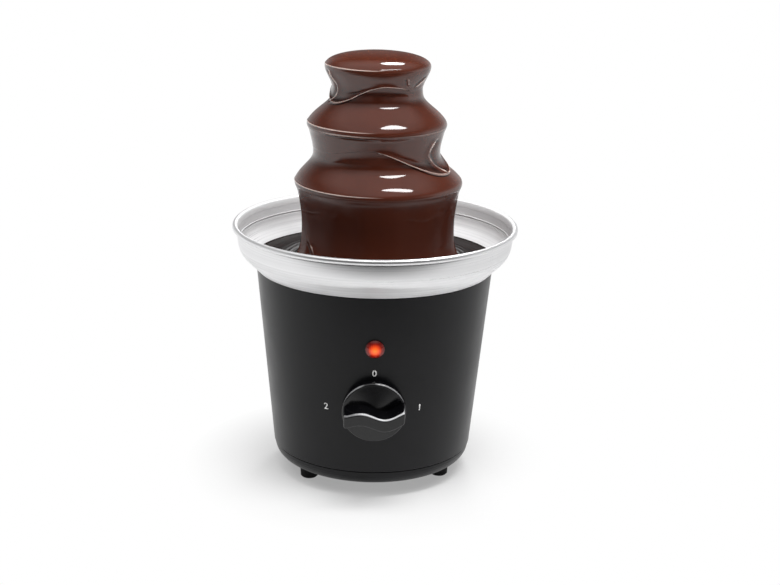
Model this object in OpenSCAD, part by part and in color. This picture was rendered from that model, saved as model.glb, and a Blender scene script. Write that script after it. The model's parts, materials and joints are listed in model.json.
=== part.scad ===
// Table-top chocolate fountain with a heated bowl and a lift-off tower.
// The origin is the centre of the base on the table, +Z is up and the knob faces -Y.

/* [Base] */
// Height of a foot below the bottom cover
foot_h = 8.5; // [6:0.5:12]
// Diameter of a foot
foot_d = 12.5; // [10:0.5:16]
// Distance of the feet from the centre
foot_ring_r = 51; // [46:0.5:51]
// Height of the bottom cover up to the parting line
cover_h = 10.5; // [10.5:0.5:14]
// Radius of the rounded lower edge of the cover
cover_round = 9.5; // [6:0.5:9.5]
// Wall of the bottom cover
cover_wall = 2.4; // [2:0.2:3]
// Height of the lip of the cover inside the housing
cover_lip_h = 3; // [2:0.5:5]
// How far the cover stands in under the housing
parting_step = 0.7; // [0.3:0.1:1.5]
// Height of the housing above the parting line
housing_h = 122.5; // [120:0.5:132]
// Outer radius of the housing at the parting line
housing_low_r = 67.1; // [66:0.1:70]
// Outer radius of the housing at its top
housing_top_r = 78.9; // [77:0.1:81]
// Wall of the housing
housing_wall = 2.6; // [2.2:0.2:3.2]
// Thickness of the deck inside the housing
deck_t = 3; // [2.4:0.2:4]
// Distance of the cover screws from the centre
cover_screw_ring_r = 49; // [46:1:51]

/* [Bowl] */
// Diameter over the rolled rim
rim_d = 190; // [187:1:196]
// Diameter of the rolled bead
bead_d = 3.6; // [3:0.2:4.6]
// How far the middle of the bead stands out over the side
rim_overhang = 1.9; // [1.4:0.1:2.6]
// Height of the upright band below the rim
band_h = 9; // [6:0.5:14]
// How much the band widens towards the rim
band_flare = 0.9; // [0:0.1:1.6]
// Radius of the shoulder between the band and the sloping side
shoulder_r = 14; // [8:0.5:18]
// Thickness of the sheet
bowl_t = 1.2; // [0.8:0.1:1.6]
// Depth of the bowl floor below the top of the housing
floor_drop = 13.66; // [12:0.02:15]
// Radius between the floor and the sloping side
floor_round = 8; // [4:0.5:12]

/* [Tower] */
// Inner radius of the tube
tube_in_r = 17.2; // [16:0.1:18]
// Outer radius of the top stretch of the tube
tube_top_r = 18.6; // [18.4:0.1:19.2]
// Width of each shoulder that carries a tier
tube_step = 1.2; // [0.8:0.1:1.6]
// Height of the shoulder that carries the lower tier
lower_seat_h = 86; // [82:0.5:88]
// Distance between the shoulders of the two tiers
tier_pitch = 36; // [34:0.5:38]
// Length of tube that the crown sits on
crown_hold = 6; // [5:0.5:8]
// Height of the collar of a tier
collar_h = 8; // [6:0.5:9]
// Wall of a collar
collar_wall = 2.2; // [1.8:0.1:2.6]
// Sheet thickness of a tier
tier_t = 1.8; // [1.2:0.1:2.2]
// Radius of the foot flange of the tube
flange_r = 28; // [26:0.5:32]
// Thickness of the foot flange
flange_t = 2.4; // [1.8:0.2:3.4]
// Width of an intake arch in the tube
intake_w = 15; // [10:0.5:18]
// Height of an intake arch
intake_h = 15; // [12:0.5:20]
// Number of intake arches and of pins
intakes = 3; // [3:1:4]
// Diameter of a pin that stops the tower turning
pin_d = 4; // [3:0.5:5]
// Height of a pin above the bowl floor
pin_h = 6; // [4:0.5:9]

/* [Auger] */
// Outer radius of the spiral
auger_r = 16.5; // [15:0.1:16.7]
// Radius of the core
auger_core_r = 9; // [8.6:0.1:10]
// Rise of the spiral in one turn
auger_pitch = 24; // [18:1:32]
// Thickness of the spiral
flight_t = 2.2; // [1.6:0.1:3]
// Height of the spiral above the tube's end
auger_rise = 1; // [0.5:0.1:1.4]

/* [Chocolate] */
// Radius over the chocolate at the crown
flow_crown_r = 34.6; // [33:0.2:36]
// How far the chocolate draws in below the crown
flow_neck_in = 5.1; // [4.5:0.1:5.6]
// Radius over the chocolate at the middle tier
flow_middle_r = 45.9; // [44:0.1:47]
// How far the chocolate draws in below the middle tier
flow_waist_in = 4.1; // [3.4:0.1:4.6]
// Radius over the chocolate at the lower tier
flow_lower_r = 55.4; // [54.6:0.1:57]
// How far the curtain draws in below the lower tier
flow_curtain_in = 4.8; // [4:0.1:5.4]
// Height of the chocolate's edge at the crown above the end of the tube
flow_crown_rise = 11.4; // [10.6:0.1:12.4]
// Depth of the chocolate's edge at the middle tier below the tier's shoulder
flow_middle_drop = 11.6; // [10.6:0.1:12.4]
// Depth of the chocolate's edge at the lower tier below the tier's shoulder
flow_lower_drop = 14.8; // [14:0.1:15.6]
// Height of the dome of chocolate over the crown
flow_dome_h = 9; // [7:0.5:11]
// Thickness of the flowing chocolate
flow_t = 2.2; // [1.6:0.1:2.6]
// Depth of the chocolate in the bowl
pool_depth = 18.8; // [14:0.2:21]

/* [Controls] */
// Height of the knob's axis where it meets the wall
knob_z = 65.7; // [60:0.1:70]
// Diameter of the knob
knob_d = 41.3; // [36:0.1:46]
// Distance of the knob's rim from the wall
knob_h = 7.3; // [7:0.1:9]
// Height of the grip above the knob's rim
grip_rise = 15.4; // [12:0.2:15.4]
// Half the thickness of the S-shaped grip
grip_half = 4.5; // [4.2:0.1:5]
// Sideways swing of the S-shaped grip
grip_swing = 2; // [0:0.1:2.6]
// Length of one wave of the grip
grip_wave = 30; // [26:0.5:40]
// How far the two ends of the grip bend up
grip_bow = 2.4; // [0:0.1:2.6]
// Depth of the dished face behind the grip
dish_depth = 0.9; // [0.4:0.1:1.4]
// Diameter of the switch shaft
switch_shaft_d = 6; // [5:0.1:6.4]
// Diameter of the threaded neck of the switch
switch_neck_d = 10; // [9:0.2:11]
// Side of the switch body
switch_w = 28; // [24:0.5:32]
// Depth of the switch body
switch_depth = 15; // [12:0.5:20]
// Height of the lamp on the wall
lamp_z = 107.3; // [104:0.1:108]
// Diameter of the lamp lens
lens_d = 12.2; // [11:0.1:14]
// Diameter of the lamp barrel
lamp_barrel_d = 10; // [9:0.1:10.6]
// Length of the lamp barrel behind the wall
lamp_barrel_l = 16; // [14:0.5:20]
// Height of the cord gland on the back wall
gland_z = 33; // [31:0.5:36]
// Bore of the cord gland
gland_bore_d = 6.8; // [5:0.1:7.4]

/* [Drive] */
// Diameter of the drive shaft
drive_d = 8; // [7:0.1:8.4]
// Radius of the barrel of the hub bushing
hub_r = 7; // [6.6:0.1:8]
// Teeth of the motor pinion
pinion_teeth = 14; // [13:1:16]
// Teeth of the large wheel of the idler
idler_teeth = 50; // [48:1:52]
// Teeth of the small wheel of the idler
idler_pinion_teeth = 14; // [13:1:15]
// Teeth of the output gear
output_teeth = 56; // [52:1:56]
// Module of the first stage
fast_module = 0.6; // [0.58:0.01:0.62]
// Module of the second stage
slow_module = 0.8; // [0.76:0.01:0.82]
// Direction of the motor shaft from the idler, in degrees
motor_angle = -55; // [-65:1:-50]
// Space between the floor and the lid of the gearbox
gear_space = 15; // [15:0.5:18]
// Play between meshing teeth
backlash = 0.22; // [0.16:0.02:0.3]
// Height of the stator stack
stack_h = 20; // [16:1:22]
// Radius of the rotor
rotor_r = 12.8; // [11:0.1:13.4]
// Gap between the rotor and the stator
air_gap = 0.4; // [0.3:0.05:0.8]
// Diameter of the motor shaft
rotor_shaft_d = 4; // [3.6:0.1:4.4]

/* [Heating] */
// Radius of the heat spreader
spreader_r = 46; // [44:1:52]
// Thickness of the heat spreader
spreader_t = 3; // [2:0.5:4]
// Radius of the heating ring
heater_ring_r = 34; // [33:0.5:36]
// Diameter of the heating tube
heater_d = 7; // [6:0.5:8]

/* [Fits] */
// Radial play of a running shaft
fit_run = 0.05; // [0.03:0.01:0.08]
// Radial play of a pressed or keyed joint
fit_key = 0.03; // [0.01:0.01:0.06]
// Play of a part that drops in
fit_free = 0.3; // [0.2:0.05:0.4]
// Diameter of the small screws
screw_d = 3; // [2.6:0.1:3.4]

/* [Hidden] */
$fn = 96;
over = 1;

// Base, from the table up
cover_z = foot_h;
part_z = cover_z + cover_h;
top_z = part_z + housing_h;
wall_tilt = atan((housing_top_r - housing_low_r) / housing_h);
cover_r = housing_low_r - parting_step;
lip_r = housing_low_r - housing_wall - fit_free;
lip_wall = 2.2;
lip_root = 4;
screw_r = screw_d / 2;
screw_head_r = screw_d;
screw_head_h = 2.2;
screw_pass_r = screw_r + 0.2;
screw_pilot_r = screw_r + fit_key;
boss_r = 4.5;
boss_h = 10;
boss_z = part_z + cover_lip_h + 0.5;
boss_web = 2.5;
boss_rib = 2.4;
boss_angles = [-90, 30, 150];
foot_turn = 94;
foot_angles = [for (i = [0:2]) foot_turn + 120 * i];
foot_stem_r = 2.5;
terminal_size = [26, 14, 12];
terminal_at = [34, 3];

// Parting line: a round on the housing over a groove in the cover
housing_edge = 0.8;
groove_h = 0.6;
groove_depth = 1.2;

function housing_r(z) = housing_low_r + (housing_top_r - housing_low_r) * (z - part_z) / housing_h;
function housing_in(z) = housing_low_r - housing_wall
    + (housing_top_r - housing_low_r) * (z - part_z) / (housing_h - housing_wall);

// Bowl, seated by its 45 degree side in the top of the housing
band_r = rim_d / 2 - bead_d / 2 - rim_overhang;
seat_gap = 0.1;
shoulder_z = top_z - housing_top_r + band_r - shoulder_r + shoulder_r * sqrt(2) + seat_gap * sqrt(2);
rim_z = shoulder_z + band_h;
floor_z = top_z - floor_drop;
bowl_under_z = floor_z - bowl_t;
cone_k = band_r - shoulder_r + shoulder_r * sqrt(2) - shoulder_z;
floor_arc_r = bowl_under_z + floor_round + cone_k - floor_round * sqrt(2);
floor_arc_z = bowl_under_z + floor_round;
stud_d = 4;
stud_l = 8;
stud_ring_r = 24;

function arc(c, r, a0, a1, n) = [for (i = [0:n]) let (a = a0 + (a1 - a0) * i / n) c + r * [cos(a), sin(a)]];

// Hub, bottom to top
hub_flange_r = hub_r + 4;
hub_flange_t = 2.8;
gasket_t = 1;
hub_flange_z = floor_z + gasket_t;
hub_neck_r = hub_r - 1;
hub_neck_z = hub_flange_z + hub_flange_t;
hub_neck_h = 9;
seal_z = hub_neck_z + hub_neck_h;
seal_h = 2.5;
drive_r = drive_d / 2;

// Space between the bowl and the deck, and the gearbox hung below the deck
spreader_z = bowl_under_z - spreader_t;
deck_gap = 3.5;
deck_top_z = spreader_z - heater_d - deck_gap;
deck_z = deck_top_z - deck_t;
nut_h = 6;
post_h = 12;
lid_t = 3;
lid_z = deck_z - post_h - lid_t;
gear_floor_t = 3;
gear_floor_z = lid_z - gear_space;
gear_under_z = gear_floor_z - gear_floor_t;
hub_end_z = deck_z - nut_h - 1;
heater_pin_r = 2;
heater_ends = [-60, -120];
thermostat_x = 21;
fuse_d = 4.4;

// Gear train
pressure_angle = 25;
fast_centre = fast_module * (pinion_teeth + idler_teeth) / 2;
slow_centre = slow_module * (idler_pinion_teeth + output_teeth) / 2;
idler_at = [0, slow_centre];
rotor_at = idler_at + fast_centre * [cos(motor_angle), sin(motor_angle)];
gear_float = 1;
stage_gap = 1.5;
fast_z = gear_floor_z + gear_float;
fast_w = 4.5;
slow_z = fast_z + fast_w + stage_gap;
slow_w = 6;
idler_end = 0.5;
output_hub = 1.5;
pinion_over = 0.35;
idler_pin_r = 2;
output_phase = 0;
idler_pinion_phase = mesh_phase(output_phase, output_teeth, 90, idler_pinion_teeth);
idler_phase = 0;
pinion_phase = mesh_phase(idler_phase, idler_teeth, motor_angle, pinion_teeth);
function gear_tip_r(n, m) = n * m / 2 + 0.9 * m;
box_wall = 2.4;
box_play = 3;
box_x = gear_tip_r(output_teeth, slow_module) + box_play + box_wall;
box_y0 = -box_x;
box_y1 = slow_centre + gear_tip_r(idler_teeth, fast_module) + box_play + box_wall;
box_screws = [for (x = [-1, 1], y = [box_y0 + boss_r, box_y1 - boss_r]) [x * (box_x - boss_r), y]];
shaft_end_z = gear_floor_z - 4;

// Tooth phase of a wheel that meshes with another one in the direction theta
function mesh_phase(phase, teeth, theta, other_teeth) =
    theta + 180 - 360 / other_teeth * (0.5 - (theta - phase) * teeth / 360);

// Motor below the gearbox
motor_boss_h = 4;
bracket_t = 4;
bracket_leg = 6;
bracket_hub_r = 6;
bracket_hub_h = 3;
upper_z = gear_under_z - motor_boss_h - bracket_t;
stack_z = upper_z - bracket_leg - stack_h;
lower_z = stack_z - bracket_leg - bracket_t;
rotor_shaft_r = rotor_shaft_d / 2;
stack_side = 25;
stack_back = 20;
motor_screw_y = 20;
window_x0 = 19;
window_x1 = 34;
core_w = 14;
window_side = 13;
winding_t = 8.5;
bobbin_wall = 1;

// Tower, standing on the bowl floor
lower_seat_z = floor_z + lower_seat_h;
middle_seat_z = lower_seat_z + tier_pitch;
crown_z = middle_seat_z + collar_h;
tube_top_z = crown_z + crown_hold;
tube_mid_r = tube_top_r + tube_step;
tube_low_r = tube_mid_r + tube_step;
pin_ring_r = (tube_low_r + flange_r) / 2;
pin_angles = [for (i = [0:intakes - 1]) 90 + 360 * i / intakes];
auger_z = hub_neck_z + 1;
auger_top_z = tube_top_z + auger_rise;
socket_z = seal_z + seal_h + 0.5;
socket_h = 20;
drive_top_z = socket_z + socket_h - 0.5;
flat_half = drive_r - 1.2;

// Chocolate outline, from the edge of the crown down to the pool.
// A fall is given as steps in and down from its edge, a landing as a step out and up.
film_gap = 0.3;
pool_z = floor_z + pool_depth;
crown_edge_z = tube_top_z + flow_crown_rise;
middle_edge_z = middle_seat_z - flow_middle_drop;
lower_edge_z = lower_seat_z - flow_lower_drop;
crown_fall = [[0, 0], [0.6, 2.6], [3, 8.2], [flow_neck_in, 15.2]];
middle_landing = [2, 15.3];
middle_fall = [[4.1, -6], [0, 0], [1.7, 5.7], [flow_waist_in, 17.2]];
lower_landing = [1.7, 14.5];
lower_fall = [[2.8, -5.2], [0, 0], [2.4, 7.5], [flow_curtain_in, 24]];
foot_flare = [[0.4, 12], [3.9, film_gap]];
flow_points = concat(
    fall(flow_crown_r, crown_edge_z, crown_fall),
    [[flow_crown_r - flow_neck_in, middle_edge_z] + middle_landing],
    fall(flow_middle_r, middle_edge_z, middle_fall),
    [[flow_middle_r - flow_waist_in, lower_edge_z] + lower_landing],
    fall(flow_lower_r, lower_edge_z, lower_fall),
    [for (s = foot_flare) [flow_lower_r - flow_curtain_in, pool_z] + s]);
flow_steps = 4;
middle_slope = [4, 6];
lower_slope = [9, 11];
flow_curve = smooth(flow_points, flow_steps);
flow_underside = inward(flow_curve, flow_t);
crown_lip_r = flow_crown_r - flow_t - film_gap - 0.4;
crown_lip_z = crown_edge_z - 1.4;
crown_lip = [1.2, 0.6];

function fall(r, z, steps) = [for (s = steps) [r, z] - s];

function pick(p, i) = p[max(0, min(len(p) - 1, i))];
function spline(a, b, c, d, t) = 0.5 * (2 * b + (c - a) * t + (2 * a - 5 * b + 4 * c - d) * t * t
    + (3 * b - a - 3 * c + d) * t * t * t);
function smooth(p, n) = [for (i = [0:len(p) - 2], j = [0:n - 1])
    spline(pick(p, i - 1), p[i], p[i + 1], pick(p, i + 2), j / n), p[len(p) - 1]];
function inward(p, d) = [for (i = [0:len(p) - 1]) let (v = pick(p, i + 1) - pick(p, i - 1))
    p[i] + d * [v[1], -v[0]] / norm(v)];
function span(p, ends) = [for (i = [ends[0] * flow_steps:ends[1] * flow_steps]) p[i]];
function reversed(p) = [for (i = [len(p) - 1:-1:0]) p[i]];

// Controls, in a frame that stands on the outside of the wall
pad_depth = 6;
pad_r = 18;
small_pad_depth = 4.4;
small_pad_r = 10;
knob_gap = 0.8;
knob_r = knob_d / 2;
knob_edge = 1.3;
knob_cavity_r = 13;
knob_cavity_h = 2.2;
knob_flat_z = knob_gap + knob_cavity_h;
knob_shaft_end = knob_h + 5;
grip_top = knob_h + grip_rise;
grip_root = knob_h - 3;
grip_edge = 1.2;
grip_end = knob_r - 1.2;
switch_shaft_r = switch_shaft_d / 2;
switch_neck_r = switch_neck_d / 2;
switch_nut_t = 1.8;
lamp_barrel_r = lamp_barrel_d / 2;
lens_wall = 1.1;
lamp_clip_w = 3;
gland_r = 5.5;
gland_flange_r = 7.5;
gland_flange_t = 2.4;
wall_play = 0.2;

// Places a piece on the outside of the front wall, with +Z out of the wall and +Y up
module on_wall(z) {
    translate([0, -housing_r(z), z]) rotate([90 + wall_tilt, 0, 0]) children();
}

module on_back_wall(z) {
    rotate(180) on_wall(z) children();
}

module around(r, angles) {
    for (a = angles) rotate(a) translate([r, 0, 0]) children();
}

module at_box_screws(z) {
    for (p = box_screws) translate([p[0], p[1], z]) children();
}

// The two long screws on either side of the motor shaft
module at_motor_screws(z) {
    for (s = [-1, 1]) translate([rotor_at[0], rotor_at[1] + s * motor_screw_y, z]) children();
}

module tube(r_out, r_in, h) {
    difference() {
        cylinder(r = r_out, h = h);
        translate([0, 0, -over]) cylinder(r = r_in, h = h + 2 * over);
    }
}

// Solid inside of the housing's wall, used to trim what grows out of the wall
module housing_core(inset) {
    rotate_extrude() polygon([[0, part_z], [housing_low_r - inset, part_z],
        [housing_top_r - inset, top_z], [0, top_z]]);
}

module wall_pad(r, depth) {
    translate([0, 0, -depth]) cylinder(r = r, h = depth);
}

module housing() {
    lamp_room = lamp_barrel_l + 8;
    lamp_room_r = lamp_barrel_r + lamp_clip_w + over;
    edge_in = housing_edge * cos(wall_tilt) / (1 + sin(wall_tilt));
    difference() {
        color("#17171a") union() {
            rotate_extrude() polygon(concat([[housing_low_r - housing_wall, part_z]],
                arc([housing_low_r - edge_in, part_z + housing_edge], housing_edge, -90, -wall_tilt, 4),
                [[housing_top_r, top_z], [housing_top_r - housing_wall, top_z - housing_wall]]));
            translate([0, 0, deck_z]) cylinder(r = housing_in(deck_z) + housing_wall / 2, h = deck_t);
            at_box_screws(deck_z - post_h) cylinder(r = boss_r, h = post_h + over);
            intersection() {
                union() {
                    on_wall(knob_z) wall_pad(pad_r, pad_depth);
                    on_wall(lamp_z) wall_pad(small_pad_r, small_pad_depth);
                    on_back_wall(gland_z) wall_pad(small_pad_r, small_pad_depth);
                    around(cover_screw_ring_r, boss_angles) {
                        translate([0, 0, boss_z]) cylinder(r = boss_r, h = boss_h);
                        translate([0, -boss_rib / 2, boss_z]) cube([housing_low_r, boss_rib, boss_h]);
                    }
                }
                housing_core(housing_wall / 2);
            }
        }
        on_wall(knob_z) translate([0, 0, -pad_depth - over])
            cylinder(r = switch_neck_r + wall_play, h = pad_depth + 3 * over);
        on_wall(lamp_z) translate([0, 0, -small_pad_depth - over])
            cylinder(r = lamp_barrel_r + wall_play, h = small_pad_depth + 3 * over);
        on_back_wall(gland_z) translate([0, 0, -small_pad_depth - over])
            cylinder(r = gland_r + fit_key, h = small_pad_depth + 3 * over);
        around(cover_screw_ring_r, boss_angles) translate([0, 0, boss_z - over])
            cylinder(r = screw_pilot_r, h = boss_h - over);
        translate([0, 0, deck_z - over]) cylinder(r = hub_r + fit_free, h = deck_t + 2 * over);
        at_box_screws(deck_z - post_h - over) cylinder(r = screw_pilot_r, h = post_h);
        around(heater_ring_r, heater_ends) translate([0, 0, deck_z - over])
            cylinder(r = heater_pin_r + over, h = deck_t + 2 * over);
        on_wall(lamp_z) translate([0, 0, -small_pad_depth - lamp_room])
            cylinder(r = lamp_room_r, h = lamp_room);
    }
}

module bottom_cover() {
    arc_at = [cover_r - cover_round, cover_z + cover_round];
    slot_w = 2.6;
    slot_l = 26;
    slot_step = 6.5;
    slot_y = 8;
    rib_t = 1.6;
    rib_h = 6;
    color("#141416") difference() {
        union() {
            rotate_extrude() polygon(concat([[0, cover_z]], arc(arc_at, cover_round, -90, 0, 8),
                [[cover_r, part_z - groove_h], [cover_r - groove_depth, part_z - groove_h],
                    [cover_r - groove_depth, part_z], [cover_r - cover_wall, part_z]],
                arc(arc_at, cover_round - cover_wall, 0, -90, 8), [[0, cover_z + cover_wall]]));
            translate([0, 0, part_z - lip_root]) tube(lip_r, lip_r - lip_wall, lip_root + cover_lip_h);
            around(cover_screw_ring_r, boss_angles) translate([0, 0, cover_z + cover_wall / 2])
                cylinder(r = boss_r + over, h = boss_z - cover_z - cover_wall / 2);
            for (s = [-1, 1]) translate([terminal_at[0] + s * (terminal_size[0] / 2 + fit_free + rib_t / 2),
                terminal_at[1], cover_z + cover_wall + rib_h / 2])
                    cube([rib_t, terminal_size[1], rib_h + over], center = true);
        }
        around(cover_screw_ring_r, boss_angles) translate([0, 0, cover_z - over]) {
            cylinder(r = screw_head_r + fit_free, h = boss_z - boss_web - cover_z + over);
            cylinder(r = screw_pass_r, h = boss_z - cover_z + 2 * over);
        }
        around(foot_ring_r, foot_angles) translate([0, 0, cover_z - over])
            cylinder(r = foot_stem_r + fit_key, h = cover_wall + 2 * over);
        for (i = [-3:3]) translate([i * slot_step - slot_w / 2, -slot_l - slot_y, cover_z - over])
            cube([slot_w, slot_l, cover_wall + 2 * over]);
    }
}

module rubber_feet() {
    foot_r = foot_d / 2;
    edge = 1;
    taper = 0.4;
    barb = [0.9, 0.6, 2.4];
    head_z = cover_z + cover_wall + fit_key;
    tip_z = head_z + barb[2];
    color("#0e0e0f") around(foot_ring_r, foot_angles) rotate_extrude()
        polygon([[0, 0], [foot_r - edge - taper, 0], [foot_r - taper, edge], [foot_r, foot_h],
            [foot_stem_r, foot_h], [foot_stem_r, head_z], [foot_stem_r + barb[0], head_z],
            [foot_stem_r - barb[1], tip_z], [0, tip_z]]);
}

// A pan-head screw that points up, with its head below z = 0
module screw(length) {
    translate([0, 0, -screw_head_h]) difference() {
        union() {
            cylinder(r = screw_head_r, h = screw_head_h);
            cylinder(r = screw_r, h = screw_head_h + length);
        }
        for (a = [0, 90]) rotate(a) translate([0, 0, 0.5]) cube([2.6, 0.7, 2], center = true);
    }
}

module cover_screws() {
    color("#8d9094") around(cover_screw_ring_r, boss_angles)
        translate([0, 0, boss_z - boss_web]) screw(boss_web + boss_h - 3);
}

// Inner side of the bowl, moved in by an extra gap
function bowl_side(gap) = concat(
    arc([floor_arc_r, floor_arc_z], floor_round - bowl_t - gap, -90, -45, 5),
    arc([band_r - shoulder_r, shoulder_z], shoulder_r - bowl_t - gap, -45, 0, 6));

module bowl() {
    color("#c4c6c9") difference() {
        union() {
            rotate_extrude() polygon(concat([[0, bowl_under_z]],
                arc([floor_arc_r, floor_arc_z], floor_round, -90, -45, 5),
                arc([band_r - shoulder_r, shoulder_z], shoulder_r, -45, 0, 6),
                [[band_r + band_flare, rim_z], [band_r + band_flare - bowl_t, rim_z]],
                reversed(bowl_side(0)), [[0, floor_z]]));
            rotate_extrude() translate([rim_d / 2 - bead_d / 2, rim_z]) circle(d = bead_d);
            around(stud_ring_r, boss_angles) translate([0, 0, bowl_under_z - stud_l])
                cylinder(d = stud_d, h = stud_l + bowl_t / 2);
        }
        translate([0, 0, bowl_under_z - over]) cylinder(r = hub_r + fit_free, h = bowl_t + 2 * over);
    }
}

module tower_pins() {
    edge = 0.6;
    color("#b9bcc0") around(pin_ring_r, pin_angles) translate([0, 0, floor_z]) {
        cylinder(d = pin_d, h = pin_h - edge);
        translate([0, 0, pin_h - edge]) cylinder(d1 = pin_d, d2 = pin_d - 2 * edge, h = edge);
    }
}

module hub_bushing() {
    color("#e6e2d8") difference() {
        rotate_extrude() polygon([[0, hub_end_z], [hub_r - 0.6, hub_end_z], [hub_r, hub_end_z + 0.6],
            [hub_r, hub_flange_z], [hub_flange_r, hub_flange_z], [hub_flange_r, hub_neck_z - 0.6],
            [hub_flange_r - 0.6, hub_neck_z], [hub_neck_r, hub_neck_z], [hub_neck_r, seal_z], [0, seal_z]]);
        translate([0, 0, hub_end_z - over])
            cylinder(r = drive_r + fit_run, h = seal_z - hub_end_z + 2 * over);
    }
}

module hub_gasket() {
    color("#b5482f") translate([0, 0, floor_z]) tube(hub_flange_r, hub_r + fit_key, gasket_t);
}

module hub_nut() {
    across = (hub_r + 3.2) * 2 / sqrt(3);
    color("#d8d4ca") translate([0, 0, deck_z - nut_h]) difference() {
        cylinder(r = across, h = nut_h, $fn = 6);
        translate([0, 0, -over]) cylinder(r = hub_r + fit_key, h = nut_h + 2 * over);
    }
}

module shaft_seal() {
    color("#3b3b3d") translate([0, 0, seal_z]) rotate_extrude()
        polygon([[drive_r + fit_run, 0], [hub_neck_r, 0], [hub_neck_r, seal_h - 1.2],
            [drive_r + 1, seal_h], [drive_r + fit_run, seal_h]]);
}

module heat_spreader() {
    edge = 1;
    color("#a9adb2") difference() {
        translate([0, 0, spreader_z]) {
            cylinder(r1 = spreader_r - edge, r2 = spreader_r, h = edge);
            translate([0, 0, edge]) cylinder(r = spreader_r, h = spreader_t - edge);
        }
        translate([0, 0, spreader_z - over]) cylinder(r = hub_flange_r, h = spreader_t + 2 * over);
        around(stud_ring_r, boss_angles) translate([0, 0, spreader_z - over])
            cylinder(d = stud_d + 2 * fit_free, h = spreader_t + 2 * over);
    }
}

module spreader_nuts() {
    nut_t = 3;
    color("#9a9da1") around(stud_ring_r, boss_angles) translate([0, 0, spreader_z - nut_t]) difference() {
        cylinder(d = stud_d * 1.9, h = nut_t, $fn = 6);
        translate([0, 0, -over]) cylinder(d = stud_d + 2 * fit_key, h = nut_t + 2 * over);
    }
}

module heater_element() {
    ring_z = spreader_z - heater_d / 2;
    pin_end_z = deck_z - 7;
    past_pin = asin((heater_pin_r + over) / heater_ring_r);
    color("#7f7a72") {
        translate([0, 0, ring_z]) rotate(heater_ends[0] - past_pin)
            rotate_extrude(angle = 360 + heater_ends[1] - heater_ends[0] + 2 * past_pin)
                translate([heater_ring_r, 0]) circle(d = heater_d);
        around(heater_ring_r, heater_ends) translate([0, 0, pin_end_z])
            cylinder(r = heater_pin_r, h = ring_z - pin_end_z);
    }
}

module thermostat() {
    body_r = 7;
    body_h = 6.5;
    flange = 1;
    tag = [0.8, 3, 3];
    tag_y = 4;
    color("#efe9da") translate([thermostat_x, 0, spreader_z]) mirror([0, 0, 1]) {
        cylinder(r = body_r + flange, h = flange);
        cylinder(r = body_r, h = body_h);
        for (s = [-1, 1]) translate([0, s * tag_y, body_h + over]) cube(tag, center = true);
    }
}

module thermal_fuse() {
    fuse_l = 10;
    lead_l = 15;
    lead_d = 1.2;
    color("#c8b98c") translate([-thermostat_x, 0, spreader_z - fuse_d / 2 - fit_key]) rotate([90, 0, 0]) {
        cylinder(d = fuse_d, h = fuse_l, center = true);
        cylinder(d = lead_d, h = lead_l, center = true);
    }
}

module fuse_clip() {
    clip_t = 0.8;
    clip_w = 5;
    foot_l = 6;
    fuse_r = fuse_d / 2 + fit_key;
    color("#b2b5b9") translate([-thermostat_x, clip_w / 2, spreader_z]) rotate([90, 0, 0])
        linear_extrude(clip_w) difference() {
            union() {
                translate([0, -fuse_r]) circle(r = fuse_r + clip_t);
                translate([-fuse_r - clip_t, -fuse_r]) square([2 * (fuse_r + clip_t), fuse_r]);
                translate([-fuse_r - clip_t - foot_l, -clip_t])
                    square([2 * (fuse_r + clip_t + foot_l), clip_t]);
            }
            translate([0, -fuse_r]) circle(r = fuse_r);
            translate([-fuse_r, -fuse_r]) square([2 * fuse_r, fuse_r]);
            translate([-2 * fuse_r - foot_l, 0]) square([4 * (fuse_r + foot_l), fuse_r]);
        }
}

// Outline of the gearbox: a rectangle with round corners at the screws
module box_outline(inset) {
    r = boss_r - inset / 2;
    x = box_x - inset;
    y0 = box_y0 + inset;
    y1 = box_y1 - inset;
    for (cx = [r - x, x - r], cy = [y0 + r, y1 - r]) translate([cx, cy]) circle(r = r);
    translate([r - x, y0]) square([2 * (x - r), y1 - y0]);
    translate([-x, y0 + r]) square([2 * x, y1 - y0 - 2 * r]);
}

module gearbox_base() {
    drive_boss_r = drive_r + 3;
    thrust_t = 1.5;
    thread_l = motor_boss_h + 2;
    color("#d9d3c3") difference() {
        union() {
            translate([0, 0, gear_under_z]) linear_extrude(gear_floor_t) box_outline(0);
            translate([0, 0, gear_under_z]) linear_extrude(lid_z - gear_under_z) difference() {
                box_outline(0);
                box_outline(box_wall);
            }
            at_box_screws(gear_under_z) cylinder(r = boss_r, h = lid_z - gear_under_z);
            translate([0, 0, shaft_end_z - thrust_t])
                cylinder(r = drive_boss_r, h = gear_floor_z - shaft_end_z + thrust_t);
            at_motor_screws(gear_under_z - motor_boss_h) cylinder(r = boss_r, h = motor_boss_h + over);
        }
        translate([0, 0, shaft_end_z - fit_free]) cylinder(r = drive_r + fit_run, h = gear_space);
        translate([rotor_at[0], rotor_at[1], gear_under_z - over])
            cylinder(r = gear_tip_r(pinion_teeth, fast_module) + 0.7, h = gear_floor_t + 2 * over);
        translate([idler_at[0], idler_at[1], gear_under_z - over])
            cylinder(r = idler_pin_r + fit_key, h = gear_floor_t + 2 * over);
        at_motor_screws(gear_under_z - motor_boss_h - over) cylinder(r = screw_pilot_r, h = thread_l + over);
        at_box_screws(gear_under_z - over) cylinder(r = screw_pass_r, h = lid_z - gear_under_z + 2 * over);
    }
}

module gearbox_cover() {
    through = lid_t + 2 * over;
    color("#d2ccbc") difference() {
        translate([0, 0, lid_z]) linear_extrude(lid_t) box_outline(0);
        translate([0, 0, lid_z - over]) cylinder(r = drive_r + fit_run, h = through);
        translate([idler_at[0], idler_at[1], lid_z - over]) cylinder(r = idler_pin_r + fit_key, h = through);
        at_box_screws(lid_z - over) cylinder(r = screw_pass_r, h = through);
    }
}

module gearbox_screws() {
    color("#8d9094") at_box_screws(gear_under_z) screw(deck_z - gear_under_z - 3);
}

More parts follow.
